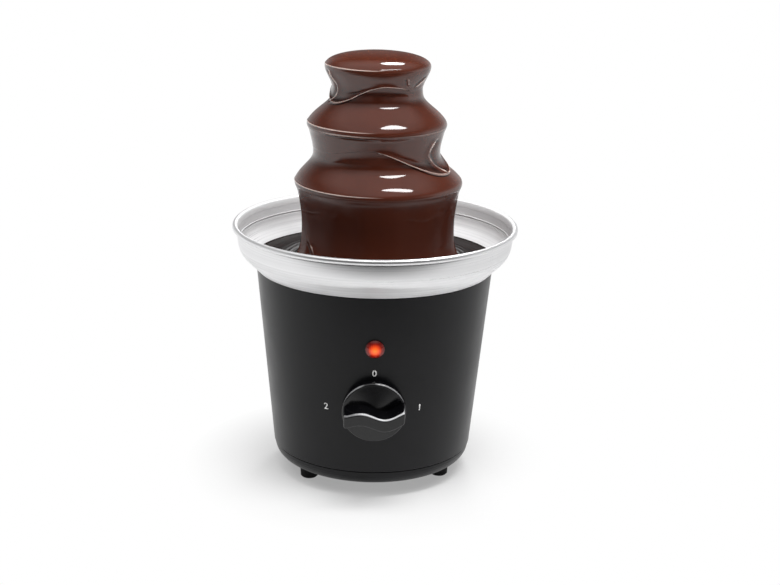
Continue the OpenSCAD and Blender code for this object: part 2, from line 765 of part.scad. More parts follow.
module idler_pin() {
    color("#b9bcc0") translate([idler_at[0], idler_at[1], gear_under_z])
        cylinder(r = idler_pin_r, h = lid_z + lid_t - gear_under_z);
}

// Outline of a spur gear with involute flanks
function involute(base, r) = r <= base ? 0 : tan(acos(base / r)) * 180 / PI - acos(base / r);
function flank(teeth, m, r) = let (pitch = teeth * m / 2, base = pitch * cos(pressure_angle))
    (PI * m / 2 - backlash / 2) / (2 * pitch) * 180 / PI + involute(base, pitch) - involute(base, r);
function tooth(teeth, m, at) = let (tip = gear_tip_r(teeth, m), root = teeth * m / 2 - 1.25 * m,
        radii = [root, for (i = [0:4]) let (low = max(root + 0.05, teeth * m / 2 * cos(pressure_angle)))
            low + (tip - low) * i / 4])
    concat([for (r = radii) let (a = at - flank(teeth, m, r)) r * [cos(a), sin(a)]],
        [for (r = reversed(radii)) let (a = at + flank(teeth, m, r)) r * [cos(a), sin(a)]]);
module gear_outline(teeth, m, phase) {
    polygon([for (i = [0:teeth - 1]) each tooth(teeth, m, phase + 360 * i / teeth)]);
}

module idler_gear() {
    color("#f0ece0") translate([idler_at[0], idler_at[1], 0]) difference() {
        union() {
            translate([0, 0, fast_z]) linear_extrude(fast_w)
                gear_outline(idler_teeth, fast_module, idler_phase);
            translate([0, 0, fast_z + fast_w]) linear_extrude(stage_gap + slow_w + idler_end)
                gear_outline(idler_pinion_teeth, slow_module, idler_pinion_phase);
        }
        translate([0, 0, fast_z - over]) cylinder(r = idler_pin_r + fit_run, h = gear_space);
    }
}

module output_gear() {
    web_holes = 6;
    hole_r = 4;
    hub_wall = 3;
    color("#f0ece0") difference() {
        union() {
            translate([0, 0, slow_z]) linear_extrude(slow_w)
                gear_outline(output_teeth, slow_module, output_phase);
            translate([0, 0, slow_z]) cylinder(r = drive_r + hub_wall, h = slow_w + output_hub);
        }
        translate([0, 0, slow_z - over]) cylinder(r = drive_r + fit_key, h = gear_space);
        around(output_teeth * slow_module / 4 + 2.4, [for (i = [0:web_holes - 1]) 360 * i / web_holes])
            translate([0, 0, slow_z - over]) cylinder(r = hole_r, h = slow_w + 2 * over);
    }
}

// Two flats on the end of the drive shaft carry the spiral round
module drive_flats(half, h) {
    intersection() {
        cylinder(r = drive_r + half - flat_half, h = h);
        translate([-drive_d, -half, 0]) cube([2 * drive_d, 2 * half, h]);
    }
}

module drive_shaft() {
    color("#b4b7bb") {
        translate([0, 0, shaft_end_z]) cylinder(r = drive_r, h = socket_z - 0.5 - shaft_end_z);
        translate([0, 0, socket_z - 0.5 - over]) drive_flats(flat_half, drive_top_z - socket_z + 0.5 + over);
    }
}

module auger() {
    bell_r = hub_neck_r + 1.4;
    root_r = auger_core_r - 0.7;
    start_z = auger_z + flight_t;
    tip = 4;
    turns = (auger_top_z - tip - flight_t - start_z) / auger_pitch;
    sides = 26;
    count = floor(turns * sides);
    edge_t = 0.7 * flight_t;
    section = [[root_r, -flight_t / 2], [auger_r, -edge_t / 2], [auger_r, edge_t / 2],
        [root_r, flight_t / 2]];
    points = [for (i = [0:count]) let (a = 360 * i / sides, z = start_z + auger_pitch * i / sides)
        for (p = section) [p[0] * cos(a), p[0] * sin(a), z + p[1]]];
    sides_of = [for (i = [0:count - 1], j = [0:3]) let (a = 4 * i + j, b = 4 * i + (j + 1) % 4)
        each [[a, b + 4, a + 4], [a, b, b + 4]]];
    color("#ece8dd") {
        difference() {
            rotate_extrude() polygon([[0, auger_z], [auger_core_r, auger_z],
                [auger_core_r, auger_top_z - tip],
                [auger_core_r - tip, auger_top_z], [0, auger_top_z]]);
            translate([0, 0, auger_z - over]) cylinder(r = bell_r, h = socket_z - auger_z + over);
            translate([0, 0, socket_z - over]) drive_flats(flat_half + 0.1, socket_h + over);
        }
        polyhedron(points, concat([[0, 2, 1], [0, 3, 2]], sides_of,
            [[4 * count, 4 * count + 1, 4 * count + 2], [4 * count, 4 * count + 2, 4 * count + 3]]));
    }
}

// Motor frame: the shaft is at the origin and the winding lies towards -X
module motor_frame() {
    translate([rotor_at[0], rotor_at[1], 0]) children();
}

module stator_stack() {
    notch = 3;
    corner_cut = 6;
    color("#6f7478") motor_frame() translate([0, 0, stack_z]) linear_extrude(stack_h) difference() {
        translate([-window_x1 - core_w, -stack_side])
            square([window_x1 + core_w + stack_back, 2 * stack_side]);
        translate([-window_x1, -window_side]) square([window_x1 - window_x0, 2 * window_side]);
        circle(r = rotor_r + air_gap);
        for (s = [-1, 1]) {
            translate([0, s * motor_screw_y]) circle(r = screw_pass_r);
            translate([-notch / 2, s * (rotor_r + notch / 2)]) translate([0, -notch / 2]) square(notch);
            translate([stack_back - corner_cut / 2, s * stack_side]) rotate(45)
                square(corner_cut, center = true);
        }
    }
}

// Cross-section round the core of the winding, in the plane across the core
module winding_section(grow, r) {
    w = core_w / 2 + grow - r;
    h = stack_h / 2 + grow - r;
    for (x = [-1, 1], y = [-1, 1]) translate([x * w, y * h]) circle(r = r);
    square([2 * (w + r), 2 * h], center = true);
    square([2 * w, 2 * (h + r)], center = true);
}

module along_core() {
    motor_frame() translate([-window_x1 - core_w / 2, 0, stack_z + stack_h / 2])
        rotate([90, 0, 0]) children();
}

module core_clear() {
    square([core_w + 2 * wall_play, stack_h + 2 * wall_play], center = true);
}

module coil_bobbin() {
    flange_grow = winding_t + 0.8;
    half = window_side - wall_play;
    color("#e9e5d6") along_core() {
        translate([0, 0, -half]) linear_extrude(2 * half) difference() {
            winding_section(wall_play + bobbin_wall, 1);
            core_clear();
        }
        for (z = [-half, half - bobbin_wall]) translate([0, 0, z]) linear_extrude(bobbin_wall) difference() {
            winding_section(flange_grow, 2.5);
            core_clear();
        }
    }
}

module motor_coil() {
    inner = wall_play + bobbin_wall + fit_key;
    half = window_side - wall_play - bobbin_wall - fit_key;
    color("#9c5a2a") along_core() translate([0, 0, -half]) linear_extrude(2 * half) difference() {
        winding_section(winding_t, 4);
        winding_section(inner, 1);
    }
}

// Bearing bridge of the motor, with its legs below z = 0
module bracket() {
    plate_rim = 1.5;
    difference() {
        union() {
            linear_extrude(bracket_t) {
                circle(r = bracket_hub_r + plate_rim);
                for (s = [-1, 1]) translate([0, s * motor_screw_y]) circle(r = boss_r);
                square([2 * boss_r, 2 * motor_screw_y], center = true);
            }
            translate([0, 0, -bracket_hub_h]) cylinder(r = bracket_hub_r, h = bracket_hub_h + over);
            for (s = [-1, 1]) translate([0, s * motor_screw_y, -bracket_leg])
                cylinder(r = boss_r, h = bracket_leg + over);
        }
        translate([0, 0, -bracket_leg - over]) {
            cylinder(r = rotor_shaft_r + fit_run, h = bracket_leg + bracket_t + 2 * over);
            for (s = [-1, 1]) translate([0, s * motor_screw_y, 0])
                cylinder(r = screw_pass_r, h = bracket_leg + bracket_t + 2 * over);
        }
    }
}

module upper_bracket() {
    color("#9fa2a5") motor_frame() translate([0, 0, upper_z]) bracket();
}

module lower_bracket() {
    color("#9fa2a5") motor_frame() translate([0, 0, lower_z + bracket_t]) mirror([0, 0, 1]) bracket();
}

module motor_screws() {
    color("#8d9094") at_motor_screws(lower_z) screw(gear_under_z - lower_z + 1);
}

module rotor() {
    ring_h = 2;
    color("#85898d") motor_frame() difference() {
        translate([0, 0, stack_z - ring_h / 2]) cylinder(r = rotor_r, h = stack_h + ring_h);
        translate([0, 0, stack_z - 2 * ring_h])
            cylinder(r = rotor_shaft_r + fit_key, h = stack_h + 4 * ring_h);
    }
}

module rotor_shaft() {
    end_z = lower_z - 1;
    color("#b9bcc0") motor_frame() translate([0, 0, end_z])
        cylinder(r = rotor_shaft_r, h = fast_z + fast_w + pinion_over - end_z);
}

module motor_pinion() {
    color("#c9a24a") motor_frame() translate([0, 0, fast_z - pinion_over])
        linear_extrude(fast_w + 2 * pinion_over) difference() {
            gear_outline(pinion_teeth, fast_module, pinion_phase);
            circle(r = rotor_shaft_r + fit_key);
        }
}

module rotary_switch() {
    terminal = [0.8, 5, 8];
    tags_z = -pad_depth - switch_depth - terminal[2] / 2 + over;
    color("#2c2c30") on_wall(knob_z) difference() {
        union() {
            translate([-switch_w / 2, -switch_w / 2, -pad_depth - switch_depth])
                cube([switch_w, switch_w, switch_depth]);
            translate([0, 0, -pad_depth - over])
                cylinder(r = switch_neck_r, h = pad_depth + over + knob_cavity_h);
            for (x = [-1, 1], y = [-1, 1]) translate([x * switch_w / 4, y * switch_w / 4, tags_z])
                cube(terminal, center = true);
        }
        translate([0, 0, 3 - pad_depth - switch_depth])
            cylinder(r = switch_shaft_r + fit_run, h = 2 * (pad_depth + switch_depth));
    }
}

module switch_nut() {
    color("#a5a8ab") on_wall(knob_z) translate([0, 0, fit_free]) difference() {
        cylinder(r = switch_neck_r + 2.6, h = switch_nut_t, $fn = 6);
        translate([0, 0, -over]) cylinder(r = switch_neck_r + fit_key, h = switch_nut_t + 2 * over);
    }
}

// Section of the switch shaft with its flat, used for the shaft and for the bore of the knob
module shaft_section(play) {
    difference() {
        circle(r = switch_shaft_r + play);
        translate([-switch_shaft_d, 0.55 * switch_shaft_r + play]) square(2 * switch_shaft_d);
    }
}

module switch_shaft() {
    foot_z = 3 + fit_free - pad_depth - switch_depth;
    color("#d6d2c6") on_wall(knob_z) {
        translate([0, 0, foot_z]) cylinder(r = switch_shaft_r, h = knob_flat_z + fit_free - foot_z);
        translate([0, 0, knob_flat_z]) linear_extrude(knob_shaft_end - knob_flat_z) shaft_section(0);
    }
}

// Middle line of the grip at x along it, and how far its section shrinks towards the rounded ends
function grip_line(x) = grip_bow * pow(x / knob_r, 2) - grip_swing * sin(360 * x / grip_wave);
function grip_shrink(x) = let (past = max(0, abs(x) - grip_end + grip_edge))
    grip_edge - sqrt(max(0, grip_edge * grip_edge - past * past));
function grip_section(d) = let (side = grip_half - d, top = grip_top - d)
    concat([[-side, grip_root]],
        arc([grip_edge - side, top - grip_edge], grip_edge, 180, 90, 3),
        arc([side - grip_edge, top - grip_edge], grip_edge, 90, 0, 3),
        [[side, grip_root]]);

// The S-shaped bar across the face of the knob
module grip() {
    steps = 18;
    straight = grip_end - grip_edge;
    end_steps = [for (i = [1:3]) straight + grip_edge * sin(30 * i)];
    rows = concat(-1 * reversed(end_steps), [for (i = [0:steps]) straight * (2 * i / steps - 1)], end_steps);
    count = len(grip_section(0));
    last = (len(rows) - 1) * count;
    points = [for (x = rows, p = grip_section(grip_shrink(x))) [x, grip_line(x) + p[0], p[1]]];
    sides = [for (i = [0:len(rows) - 2], j = [0:count - 1])
        let (a = count * i + j, b = count * i + (j + 1) % count)
            each [[a, b, b + count], [a, b + count, a + count]]];
    polyhedron(points, concat([[for (j = [count - 1:-1:0]) j]], sides, [[for (j = [0:count - 1]) last + j]]));
}

module control_knob() {
    face_r = knob_r - knob_edge;
    bulge = (face_r * face_r + dish_depth * dish_depth) / (2 * dish_depth);
    color("#101012") on_wall(knob_z) difference() {
        union() {
            rotate_extrude() polygon(concat([[0, knob_gap], [knob_r, knob_gap]],
                arc([face_r, knob_h - knob_edge], knob_edge, 0, 75, 4),
                arc([0, knob_h - dish_depth + bulge], bulge, asin(face_r / bulge) - 90, -90, 6)));
            grip();
        }
        translate([0, 0, knob_gap - over]) cylinder(r = knob_cavity_r, h = knob_cavity_h + over);
        translate([0, 0, knob_gap]) linear_extrude(knob_shaft_end - knob_gap + fit_free)
            shaft_section(fit_key);
        translate([0, 0, knob_gap]) cylinder(r = switch_shaft_r + fit_key, h = knob_cavity_h + fit_free);
    }
}

module lamp_lens() {
    dome_h = 2.6;
    edge_h = 0.8;
    front_t = 1;
    corner = 1.5;
    lens_r = lens_d / 2;
    bulge = (lens_r * lens_r + dome_h * dome_h) / (2 * dome_h);
    bulge_a = asin(lens_r / bulge);
    cavity_r = lamp_barrel_r - lens_wall;
    color("#c3230f") on_wall(lamp_z) rotate_extrude() polygon(concat(
        [[cavity_r, -lamp_barrel_l], [lamp_barrel_r, -lamp_barrel_l], [lamp_barrel_r, fit_free],
            [lens_r, fit_free]],
        arc([0, fit_free + edge_h + dome_h - bulge], bulge, 90 - bulge_a, 90, 8),
        [[0, -front_t], [cavity_r - corner, -front_t], [cavity_r, -front_t - corner]]));
}

module lamp_bulb() {
    glass_r = 2.5;
    glass_l = lamp_barrel_l - 6;
    collar_l = 4;
    lead_r = 0.5;
    lead_l = 5;
    color("#f2b98a") on_wall(lamp_z) translate([0, 0, -lamp_barrel_l]) {
        cylinder(r = lamp_barrel_r - lens_wall - fit_key, h = collar_l);
        cylinder(r = glass_r, h = glass_l);
        translate([0, 0, glass_l]) sphere(r = glass_r);
        for (s = [-1, 1]) translate([3 * s * lead_r, 0, -lead_l]) cylinder(r = lead_r, h = lead_l + over);
    }
}

module lamp_clip() {
    clip_t = 1.6;
    color("#303033") on_wall(lamp_z) translate([0, 0, -small_pad_depth - clip_t])
        tube(lamp_barrel_r + lamp_clip_w, lamp_barrel_r + fit_key, clip_t);
}

module cord_gland() {
    inner_z = -small_pad_depth - gland_flange_t;
    round = 0.8;
    color("#19191b") on_back_wall(gland_z) rotate_extrude() polygon([[gland_bore_d / 2, inner_z],
        [gland_flange_r, inner_z], [gland_flange_r, -small_pad_depth], [gland_r, -small_pad_depth],
        [gland_r, fit_free], [gland_flange_r, fit_free], [gland_flange_r, fit_free + gland_flange_t - round],
        [gland_flange_r - round, fit_free + gland_flange_t],
        [gland_bore_d / 2 + round, fit_free + gland_flange_t],
        [gland_bore_d / 2, fit_free + gland_flange_t - round]]);
}

module terminal_block() {
    ways = 3;
    pitch = 8;
    wire_z = 5;
    wire_d = 3.2;
    well_d = 4;
    color("#e4e0d4") translate([terminal_at[0] - terminal_size[0] / 2, terminal_at[1] - terminal_size[1] / 2,
        cover_z + cover_wall]) difference() {
            cube(terminal_size);
            for (i = [0:ways - 1]) translate([terminal_size[0] / 2 + (i - 1) * pitch, 0, 0]) {
                translate([0, -over, wire_z]) rotate([-90, 0, 0])
                    cylinder(d = wire_d, h = terminal_size[1] + 2 * over);
                translate([0, terminal_size[1] / 2, wire_z]) cylinder(d = well_d, h = terminal_size[2]);
            }
        }
}

module tower_tube() {
    color("#d6d6d2") difference() {
        rotate_extrude() polygon([[tube_in_r, floor_z], [flange_r, floor_z], [flange_r, floor_z + flange_t],
            [tube_low_r, floor_z + flange_t], [tube_low_r, lower_seat_z], [tube_mid_r, lower_seat_z],
            [tube_mid_r, middle_seat_z], [tube_top_r, middle_seat_z], [tube_top_r, tube_top_z],
            [tube_in_r, tube_top_z]]);
        around(pin_ring_r, pin_angles) translate([0, 0, floor_z - over])
            cylinder(d = pin_d + 2 * fit_free, h = flange_t + 2 * over);
        for (a = pin_angles) rotate(a + 180 / intakes + 90) translate([0, 0, floor_z + flange_t])
            rotate([90, 0, 0]) linear_extrude(flange_r) {
                translate([-intake_w / 2, 0]) square([intake_w, intake_h - intake_w / 2]);
                translate([0, intake_h - intake_w / 2]) circle(d = intake_w);
            }
    }
}

// A tier: a collar on the tube and a skirt that follows the chocolate above it
module tier(bore_r, seat_z, slope) {
    collar_r = bore_r + collar_wall;
    top = span(inward(flow_curve, flow_t + film_gap), slope);
    under = span(inward(flow_curve, flow_t + film_gap + tier_t), slope);
    rotate_extrude() polygon(concat(
        [[bore_r, seat_z], [collar_r, seat_z], [collar_r, seat_z + 0.6 * collar_h]],
        under, reversed(top), [[collar_r, seat_z + collar_h], [bore_r, seat_z + collar_h]]));
}

module lower_tier() {
    color("#d0d0cc") tier(tube_mid_r + fit_run, lower_seat_z, lower_slope);
}

module middle_tier() {
    color("#d0d0cc") tier(tube_top_r + fit_run, middle_seat_z, middle_slope);
}

module crown() {
    bore_r = tube_top_r + fit_run;
    collar_r = bore_r + collar_wall;
    color("#d0d0cc") rotate_extrude() polygon([[bore_r, crown_z], [collar_r, crown_z],
        [collar_r, crown_z + crown_hold / 2], [crown_lip_r, crown_lip_z],
        [crown_lip_r - crown_lip[0], crown_lip_z + crown_lip[1]], [bore_r, tube_top_z]]);
}

module chocolate_flow() {
    dome_steps = 10;
    fullness = 2.5;
    dome = [for (i = [0:dome_steps - 1]) let (a = 90 * i / dome_steps)
        [flow_crown_r * pow(sin(a), 2 / fullness), crown_edge_z + flow_dome_h * pow(cos(a), 2 / fullness)]];
    cap_z = auger_top_z + 2 * film_gap;
    cap_edge = [2, 0.9];
    bore_r = tube_top_r + fit_run;
    first = flow_steps;
    foot_z = pool_z + film_gap;
    color("#4a2418") rotate_extrude() polygon(concat(dome, flow_curve,
        [for (i = [len(flow_curve) - 1:-1:first])
            [flow_underside[i][0], max(foot_z, flow_underside[i][1])]],
        [[crown_lip_r + film_gap, crown_lip_z + 3 * film_gap],
            [crown_lip_r - crown_lip[0], crown_lip_z + crown_lip[1] + 1.5 * film_gap],
            [bore_r, cap_z] + cap_edge, [bore_r, cap_z], [0, cap_z]]));
}

module chocolate_pool() {
    gap = 0.15;
    hole_r = flange_r + 2 * film_gap;
    side = bowl_side(gap);
    edge_r = lookup(pool_z, [for (p = side) [p[1], p[0]]]);
    color("#2a1510") rotate_extrude() polygon(concat([[hole_r, floor_z + gap]],
        [for (p = side) if (p[1] < pool_z) p], [[edge_r, pool_z], [hole_r, pool_z]]));
}

housing();
bottom_cover();
rubber_feet();
cover_screws();
bowl();
tower_pins();
hub_bushing();
hub_gasket();
hub_nut();
shaft_seal();
heat_spreader();
spreader_nuts();
heater_element();
thermostat();
thermal_fuse();
fuse_clip();
gearbox_base();
gearbox_cover();
gearbox_screws();
idler_pin();
idler_gear();
output_gear();
drive_shaft();
auger();
stator_stack();
coil_bobbin();
motor_coil();
upper_bracket();
lower_bracket();
motor_screws();
rotor();
rotor_shaft();
motor_pinion();
rotary_switch();
switch_nut();
switch_shaft();
control_knob();
lamp_lens();
lamp_bulb();
lamp_clip();
cord_gland();
terminal_block();
tower_tube();
lower_tier();
middle_tier();
crown();
chocolate_flow();
chocolate_pool();
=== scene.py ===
"""Looks of a table-top chocolate fountain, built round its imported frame. Lengths are metres."""

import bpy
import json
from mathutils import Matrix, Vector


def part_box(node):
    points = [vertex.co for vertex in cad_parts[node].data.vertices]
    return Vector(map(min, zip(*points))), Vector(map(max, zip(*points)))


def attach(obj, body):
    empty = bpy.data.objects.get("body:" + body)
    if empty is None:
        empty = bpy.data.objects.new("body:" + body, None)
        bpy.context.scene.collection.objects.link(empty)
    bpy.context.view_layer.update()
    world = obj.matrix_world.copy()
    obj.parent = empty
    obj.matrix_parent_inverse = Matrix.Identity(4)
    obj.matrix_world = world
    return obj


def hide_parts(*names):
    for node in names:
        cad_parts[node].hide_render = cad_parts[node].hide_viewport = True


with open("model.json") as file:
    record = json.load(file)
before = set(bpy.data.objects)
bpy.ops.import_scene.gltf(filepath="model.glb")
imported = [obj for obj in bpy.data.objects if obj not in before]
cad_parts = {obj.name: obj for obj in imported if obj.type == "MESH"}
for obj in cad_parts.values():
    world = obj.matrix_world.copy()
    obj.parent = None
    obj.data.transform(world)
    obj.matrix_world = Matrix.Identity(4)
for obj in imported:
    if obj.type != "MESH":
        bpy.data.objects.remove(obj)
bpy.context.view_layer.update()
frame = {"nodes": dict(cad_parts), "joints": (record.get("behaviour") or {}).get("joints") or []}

import json
import math

import bmesh
import bpy
import numpy as np
from mathutils import Matrix, Quaternion, Vector


# Bottom cover: a dished lid of black moulded plastic with cooling slots below the motor.
# It closes the housing from below and is held by three screws in sunk holes.

mm = 0.001


def linear(code):
    """A colour written as six hexadecimal digits, in the linear values that shaders take."""
    shares = [int(code[i:i + 2], 16) / 255 for i in (0, 2, 4)]
    return (*(s / 12.92 if s <= 0.04045 else ((s + 0.055) / 1.055) ** 2.4 for s in shares), 1)


def add(tree, kind, sockets=(), **settings):
    """Adds a shader node. A socket takes a value, or the socket of another node that feeds it."""
    node = tree.nodes.new("ShaderNode" + kind)
    for name, value in settings.items():
        setattr(node, name, value)
    for name, value in dict(sockets).items():
        if isinstance(value, bpy.types.NodeSocket):
            tree.links.new(value, node.inputs[name])
        else:
            node.inputs[name].default_value = value
    return node


def feed(tree, node, sources):
    """Links sources to a node's inputs, in place of what fed them before."""
    for label, source in sources.items():
        tree.links.new(source, node.inputs[label])


def effect(name, inputs, outputs):
    """A new node group with named sockets, the sockets that it is given and its output node."""
    kinds = {"colour": "NodeSocketColor", "value": "NodeSocketFloat"}
    tree = bpy.data.node_groups.new(name, "ShaderNodeTree")
    for way, sockets in (("INPUT", inputs), ("OUTPUT", outputs)):
        for label, kind in sockets.items():
            tree.interface.new_socket(label, in_out=way, socket_type=kinds[kind])
    return tree, tree.nodes.new("NodeGroupInput").outputs, tree.nodes.new("NodeGroupOutput")


def place_on(tree):
    """The place of a point in its object's own frame."""
    return add(tree, "TexCoord").outputs["Object"]


def maths(tree, operation, *values):
    """One step of arithmetic on values."""
    return add(tree, "Math", dict(enumerate(values)), operation=operation).outputs[0]


def scaled(tree, source, start, end, low=0.0, high=1.0):
    """Runs from low to high while the source runs from start to end, and holds beyond them."""
    ends = {"Value": source, "From Min": start, "From Max": end, "To Min": low, "To Max": high}
    return add(tree, "MapRange", ends).outputs["Result"]


def noise(tree, place, scale, detail, roughness=0.5):
    """Cloudy noise over the surface."""
    sockets = {"Vector": place, "Scale": scale, "Detail": detail, "Roughness": roughness}
    return add(tree, "TexNoise", sockets).outputs["Fac"]


def spread(tree, cloud, low, high):
    """Maps a noise, which keeps near the middle, to the range from low to high."""
    return scaled(tree, cloud, 0.3, 0.7, low, high)


def toned(tree, colour, brightness):
    """A colour made lighter or darker."""
    return add(tree, "HueSaturation", {"Color": colour, "Value": brightness}).outputs["Color"]


def make_moulded_skin():
    """Spark-eroded mould texture, with tone and gloss that drift a little over the surface."""
    tree, given, made = effect(
        "moulded_skin",
        {"Colour": "colour", "Roughness": "value", "Grain": "value"},
        {"Colour": "colour", "Roughness": "value", "Height": "value"})
    place = place_on(tree)
    cloud = noise(tree, place, scale=38, detail=4, roughness=0.6)
    drift = spread(tree, cloud, -0.045, 0.045)
    feed(tree, made, {"Colour": toned(tree, given["Colour"], spread(tree, cloud, 0.82, 1.18)),
                      "Roughness": maths(tree, "ADD", given["Roughness"], drift),
                      "Height": noise(tree, place, scale=given["Grain"], detail=3)})
    return tree


def new_finish(name, sockets=()):
    """A new material and its nodes, with values set on the shader's own sockets."""
    made = bpy.data.materials.new(name)
    made.use_nodes = True
    surface = made.node_tree.nodes["Principled BSDF"]
    for label, value in dict(sockets).items():
        surface.inputs[label].default_value = value
    return made, made.node_tree


def feed_surface(material, sources):
    """Links sources to a material's shader."""
    feed(material.node_tree, material.node_tree.nodes["Principled BSDF"], sources)


def emboss(material, height, strength, depth):
    """Gives a material the relief of a height that changes over its surface."""
    bump = add(material.node_tree, "Bump", {"Height": height, "Strength": strength, "Distance": depth})
    feed_surface(material, {"Normal": bump.outputs["Normal"]})


def effect_finish(name, group, values, strength, depth, sockets=()):
    """A material whose colour, roughness and relief come from an effect."""
    made, tree = new_finish(name, sockets)
    skin = add(tree, "Group", values, node_tree=group).outputs
    feed_surface(made, {"Base Color": skin["Colour"], "Roughness": skin["Roughness"]})
    emboss(made, skin["Height"], strength, depth)
    return made


moulded_skin = make_moulded_skin()


def moulded(name, colour, roughness, grain=1400, depth=0.02 * mm, sockets=()):
    """Moulded plastic or rubber. Its grain is finer as the number rises."""
    values = {"Colour": linear(colour), "Roughness": roughness, "Grain": grain}
    return effect_finish(name, moulded_skin, values, strength=0.6, depth=depth, sockets=sockets)


def dress(material, *nodes):
    """Gives frame nodes their finish."""
    for node in nodes:
        frame["nodes"][node].data.materials.clear()
        frame["nodes"][node].data.materials.append(material)


def split(tree, vector):
    """The parts of a vector along X, Y and Z."""
    return add(tree, "SeparateXYZ", {"Vector": vector}).outputs


def way_out(tree, place):
    """The way from the Z axis straight out to a place."""
    return add(tree, "VectorMath", {0: place, 1: (1, 1, 0)}, operation="MULTIPLY").outputs["Vector"]


def length(tree, vector):
    """The length of a vector."""
    return add(tree, "VectorMath", {0: vector}, operation="LENGTH").outputs["Value"]


def make_drawn_lines():
    """Fine lines round the Z axis, as turning, spinning or polishing in a lathe leaves them."""
    tree, given, made = effect(
        "drawn_lines",
        {"Colour": "colour", "Roughness": "value", "Lines": "value"},
        {"Colour": "colour", "Roughness": "value", "Height": "value"})
    place = place_on(tree)
    radius = length(tree, way_out(tree, place))
    section = add(tree, "CombineXYZ", {"X": radius, "Y": split(tree, place)["Z"]})
    lines = noise(tree, section.outputs["Vector"], scale=given["Lines"], detail=5, roughness=0.7)
    cloud = noise(tree, place, scale=24, detail=3)
    drift = maths(tree, "ADD", spread(tree, cloud, -0.03, 0.03), spread(tree, lines, -0.05, 0.05))
    feed(tree, made, {"Colour": toned(tree, given["Colour"], spread(tree, lines, 0.84, 1.06)),
                      "Roughness": maths(tree, "ADD", given["Roughness"], drift), "Height": lines})
    return tree


drawn_lines = make_drawn_lines()


def turned_metal(name, colour, roughness, lines=1500, depth=0.004 * mm, sockets=()):
    """Metal with the marks of a lathe. Its lines are finer as the number rises."""
    values = {"Colour": linear(colour), "Roughness": roughness, "Lines": lines}
    return effect_finish(name, drawn_lines, values, strength=0.5, depth=depth,
                         sockets={"Metallic": 1, **dict(sockets)})


low_sheen = {"Specular IOR Level": 0.24}
black_shell = moulded("black_shell", "141416", 0.33, sockets=low_sheen)
screw_steel = turned_metal("screw_steel", "9a9da1", 0.34, lines=2600)
dress(black_shell, "bottom_cover")
dress(screw_steel, "cover_screws")


# Feet: three black rubber pads whose stems snap into holes in the bottom cover.
# They keep the cooling slots off the table.

dress(moulded("black_rubber", "0d0d0e", 0.72, grain=900, depth=0.05 * mm, sockets=low_sheen), "rubber_feet")


# Housing: a tapered tub of the same black plastic, moulded in one piece with an inner deck.
# Its wall carries the controls, and its top edge carries the bowl.

dress(black_shell, "housing")


# Cord gland and terminal block: a moulded bush in the back wall, and a pale block in the cover.
# The gland snaps into its hole; the block drops between two ribs.

black_nylon = moulded("black_nylon", "1b1b1d", 0.5, grain=1100, depth=0.03 * mm)
pale_nylon = moulded("pale_nylon", "e2ddd0", 0.46, grain=1000,
                     sockets={"Subsurface Weight": 0.05, "Subsurface Scale": 2 * mm})
dress(black_nylon, "cord_gland")
dress(pale_nylon, "terminal_block")


# Switch: a black body screwed into the wall by its neck and a flat steel nut.
# Its shaft has a flat that carries the knob round.

dress(black_nylon, "rotary_switch")
dress(screw_steel, "switch_nut")
dress(pale_nylon, "switch_shaft")


# Control knob: a coned disc of gloss black plastic with a tall S-shaped bar to turn it by.
# It is moulded in one piece and pressed on the flatted switch shaft.

knob_turn = next(joint for joint in frame["joints"] if joint["name"] == "knob_turn")
wall_out = -Vector(knob_turn["axis"]).normalized()
wall_tilt = math.atan2(-wall_out.z, -wall_out.y)
sideways = Vector((1, 0, 0))
knob_low, knob_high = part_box("control_knob")
knob_r = (knob_high.x - knob_low.x) / 2
knob_foot_h = 0.8 * mm
knob_rim_h = 7.3 * mm
knob_edge = 1.3 * mm
knob_chamfer = 0.4 * mm
knob_hollow_r = 13 * mm
knob_hollow_h = 3 * mm
cone_h = 3.4 * mm
grip_top_h = 22.7 * mm
grip_root_h = knob_rim_h - 3 * mm
grip_end = knob_r - 1.2 * mm
grip_half = 4.5 * mm
grip_edge = 1.5 * mm
grip_swing = 2 * mm
grip_wave = 30 * mm
grip_bow = 2.4 * mm
# Where the knob's painted highlight lies: heights on the bar, a span along the bar where it fades, radii on
# the rim, and a gap in the rim's highlight
bar_highlight_z = (grip_top_h - 2.4 * mm, grip_top_h - 1.6 * mm)
bar_highlight_x = (-14 * mm, -6 * mm)
rim_highlight_r = (knob_r - 1.6 * mm, knob_r - 1 * mm)
highlight_gap_x = -3 * mm
highlight_gap_half = (3 * mm, 6 * mm)
crisp_angle = math.radians(38)


def facing_place(x_axis, out, origin):
    """The place of a piece whose X runs along one direction and whose Z points out along another."""
    place = Matrix((x_axis, out.cross(x_axis), out)).transposed().to_4x4()
    place.translation = origin
    return place


def shade(data):
    """Smooth faces, with the edges of the form left crisp."""
    data.shade_smooth()
    data.set_sharp_from_angle(angle=crisp_angle)


def put_in_scene(name, data):
    """A new object in the scene."""
    piece = bpy.data.objects.new(name, data)
    bpy.context.scene.collection.objects.link(piece)
    return piece


def skin_mesh(name, rows, capped=False, looped=True):
    """A skin over rows of points. Each row closes on itself, and the rows are looped or have caps."""
    rows = np.asarray(rows, float)
    count, across = rows.shape[:2]
    index = np.arange(count * across).reshape(count, across)
    after = np.roll(index, -1, 1)
    faces = []
    for i in range(count if looped else count - 1):
        k = (i + 1) % count
        faces += np.stack([index[i], after[i], after[k], index[k]], 1).tolist()
    if capped:
        faces += [index[0][::-1].tolist(), index[-1].tolist()]
    data = bpy.data.meshes.new(name)
    data.from_pydata(rows.reshape(-1, 3).tolist(), [], faces)
    work = bmesh.new()
    work.from_mesh(data)
    bmesh.ops.remove_doubles(work, verts=work.verts, dist=1e-6)
    bmesh.ops.recalc_face_normals(work, faces=work.faces)
    work.to_mesh(data)
    work.free()
    shade(data)
    return put_in_scene(name, data)


def finish_piece(piece, material, slot, body, *replaced):
    """Gives a new piece its finish, its body and the nodes that it stands for."""
    piece.data.materials.append(material)
    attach(piece, body)
    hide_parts(*replaced)


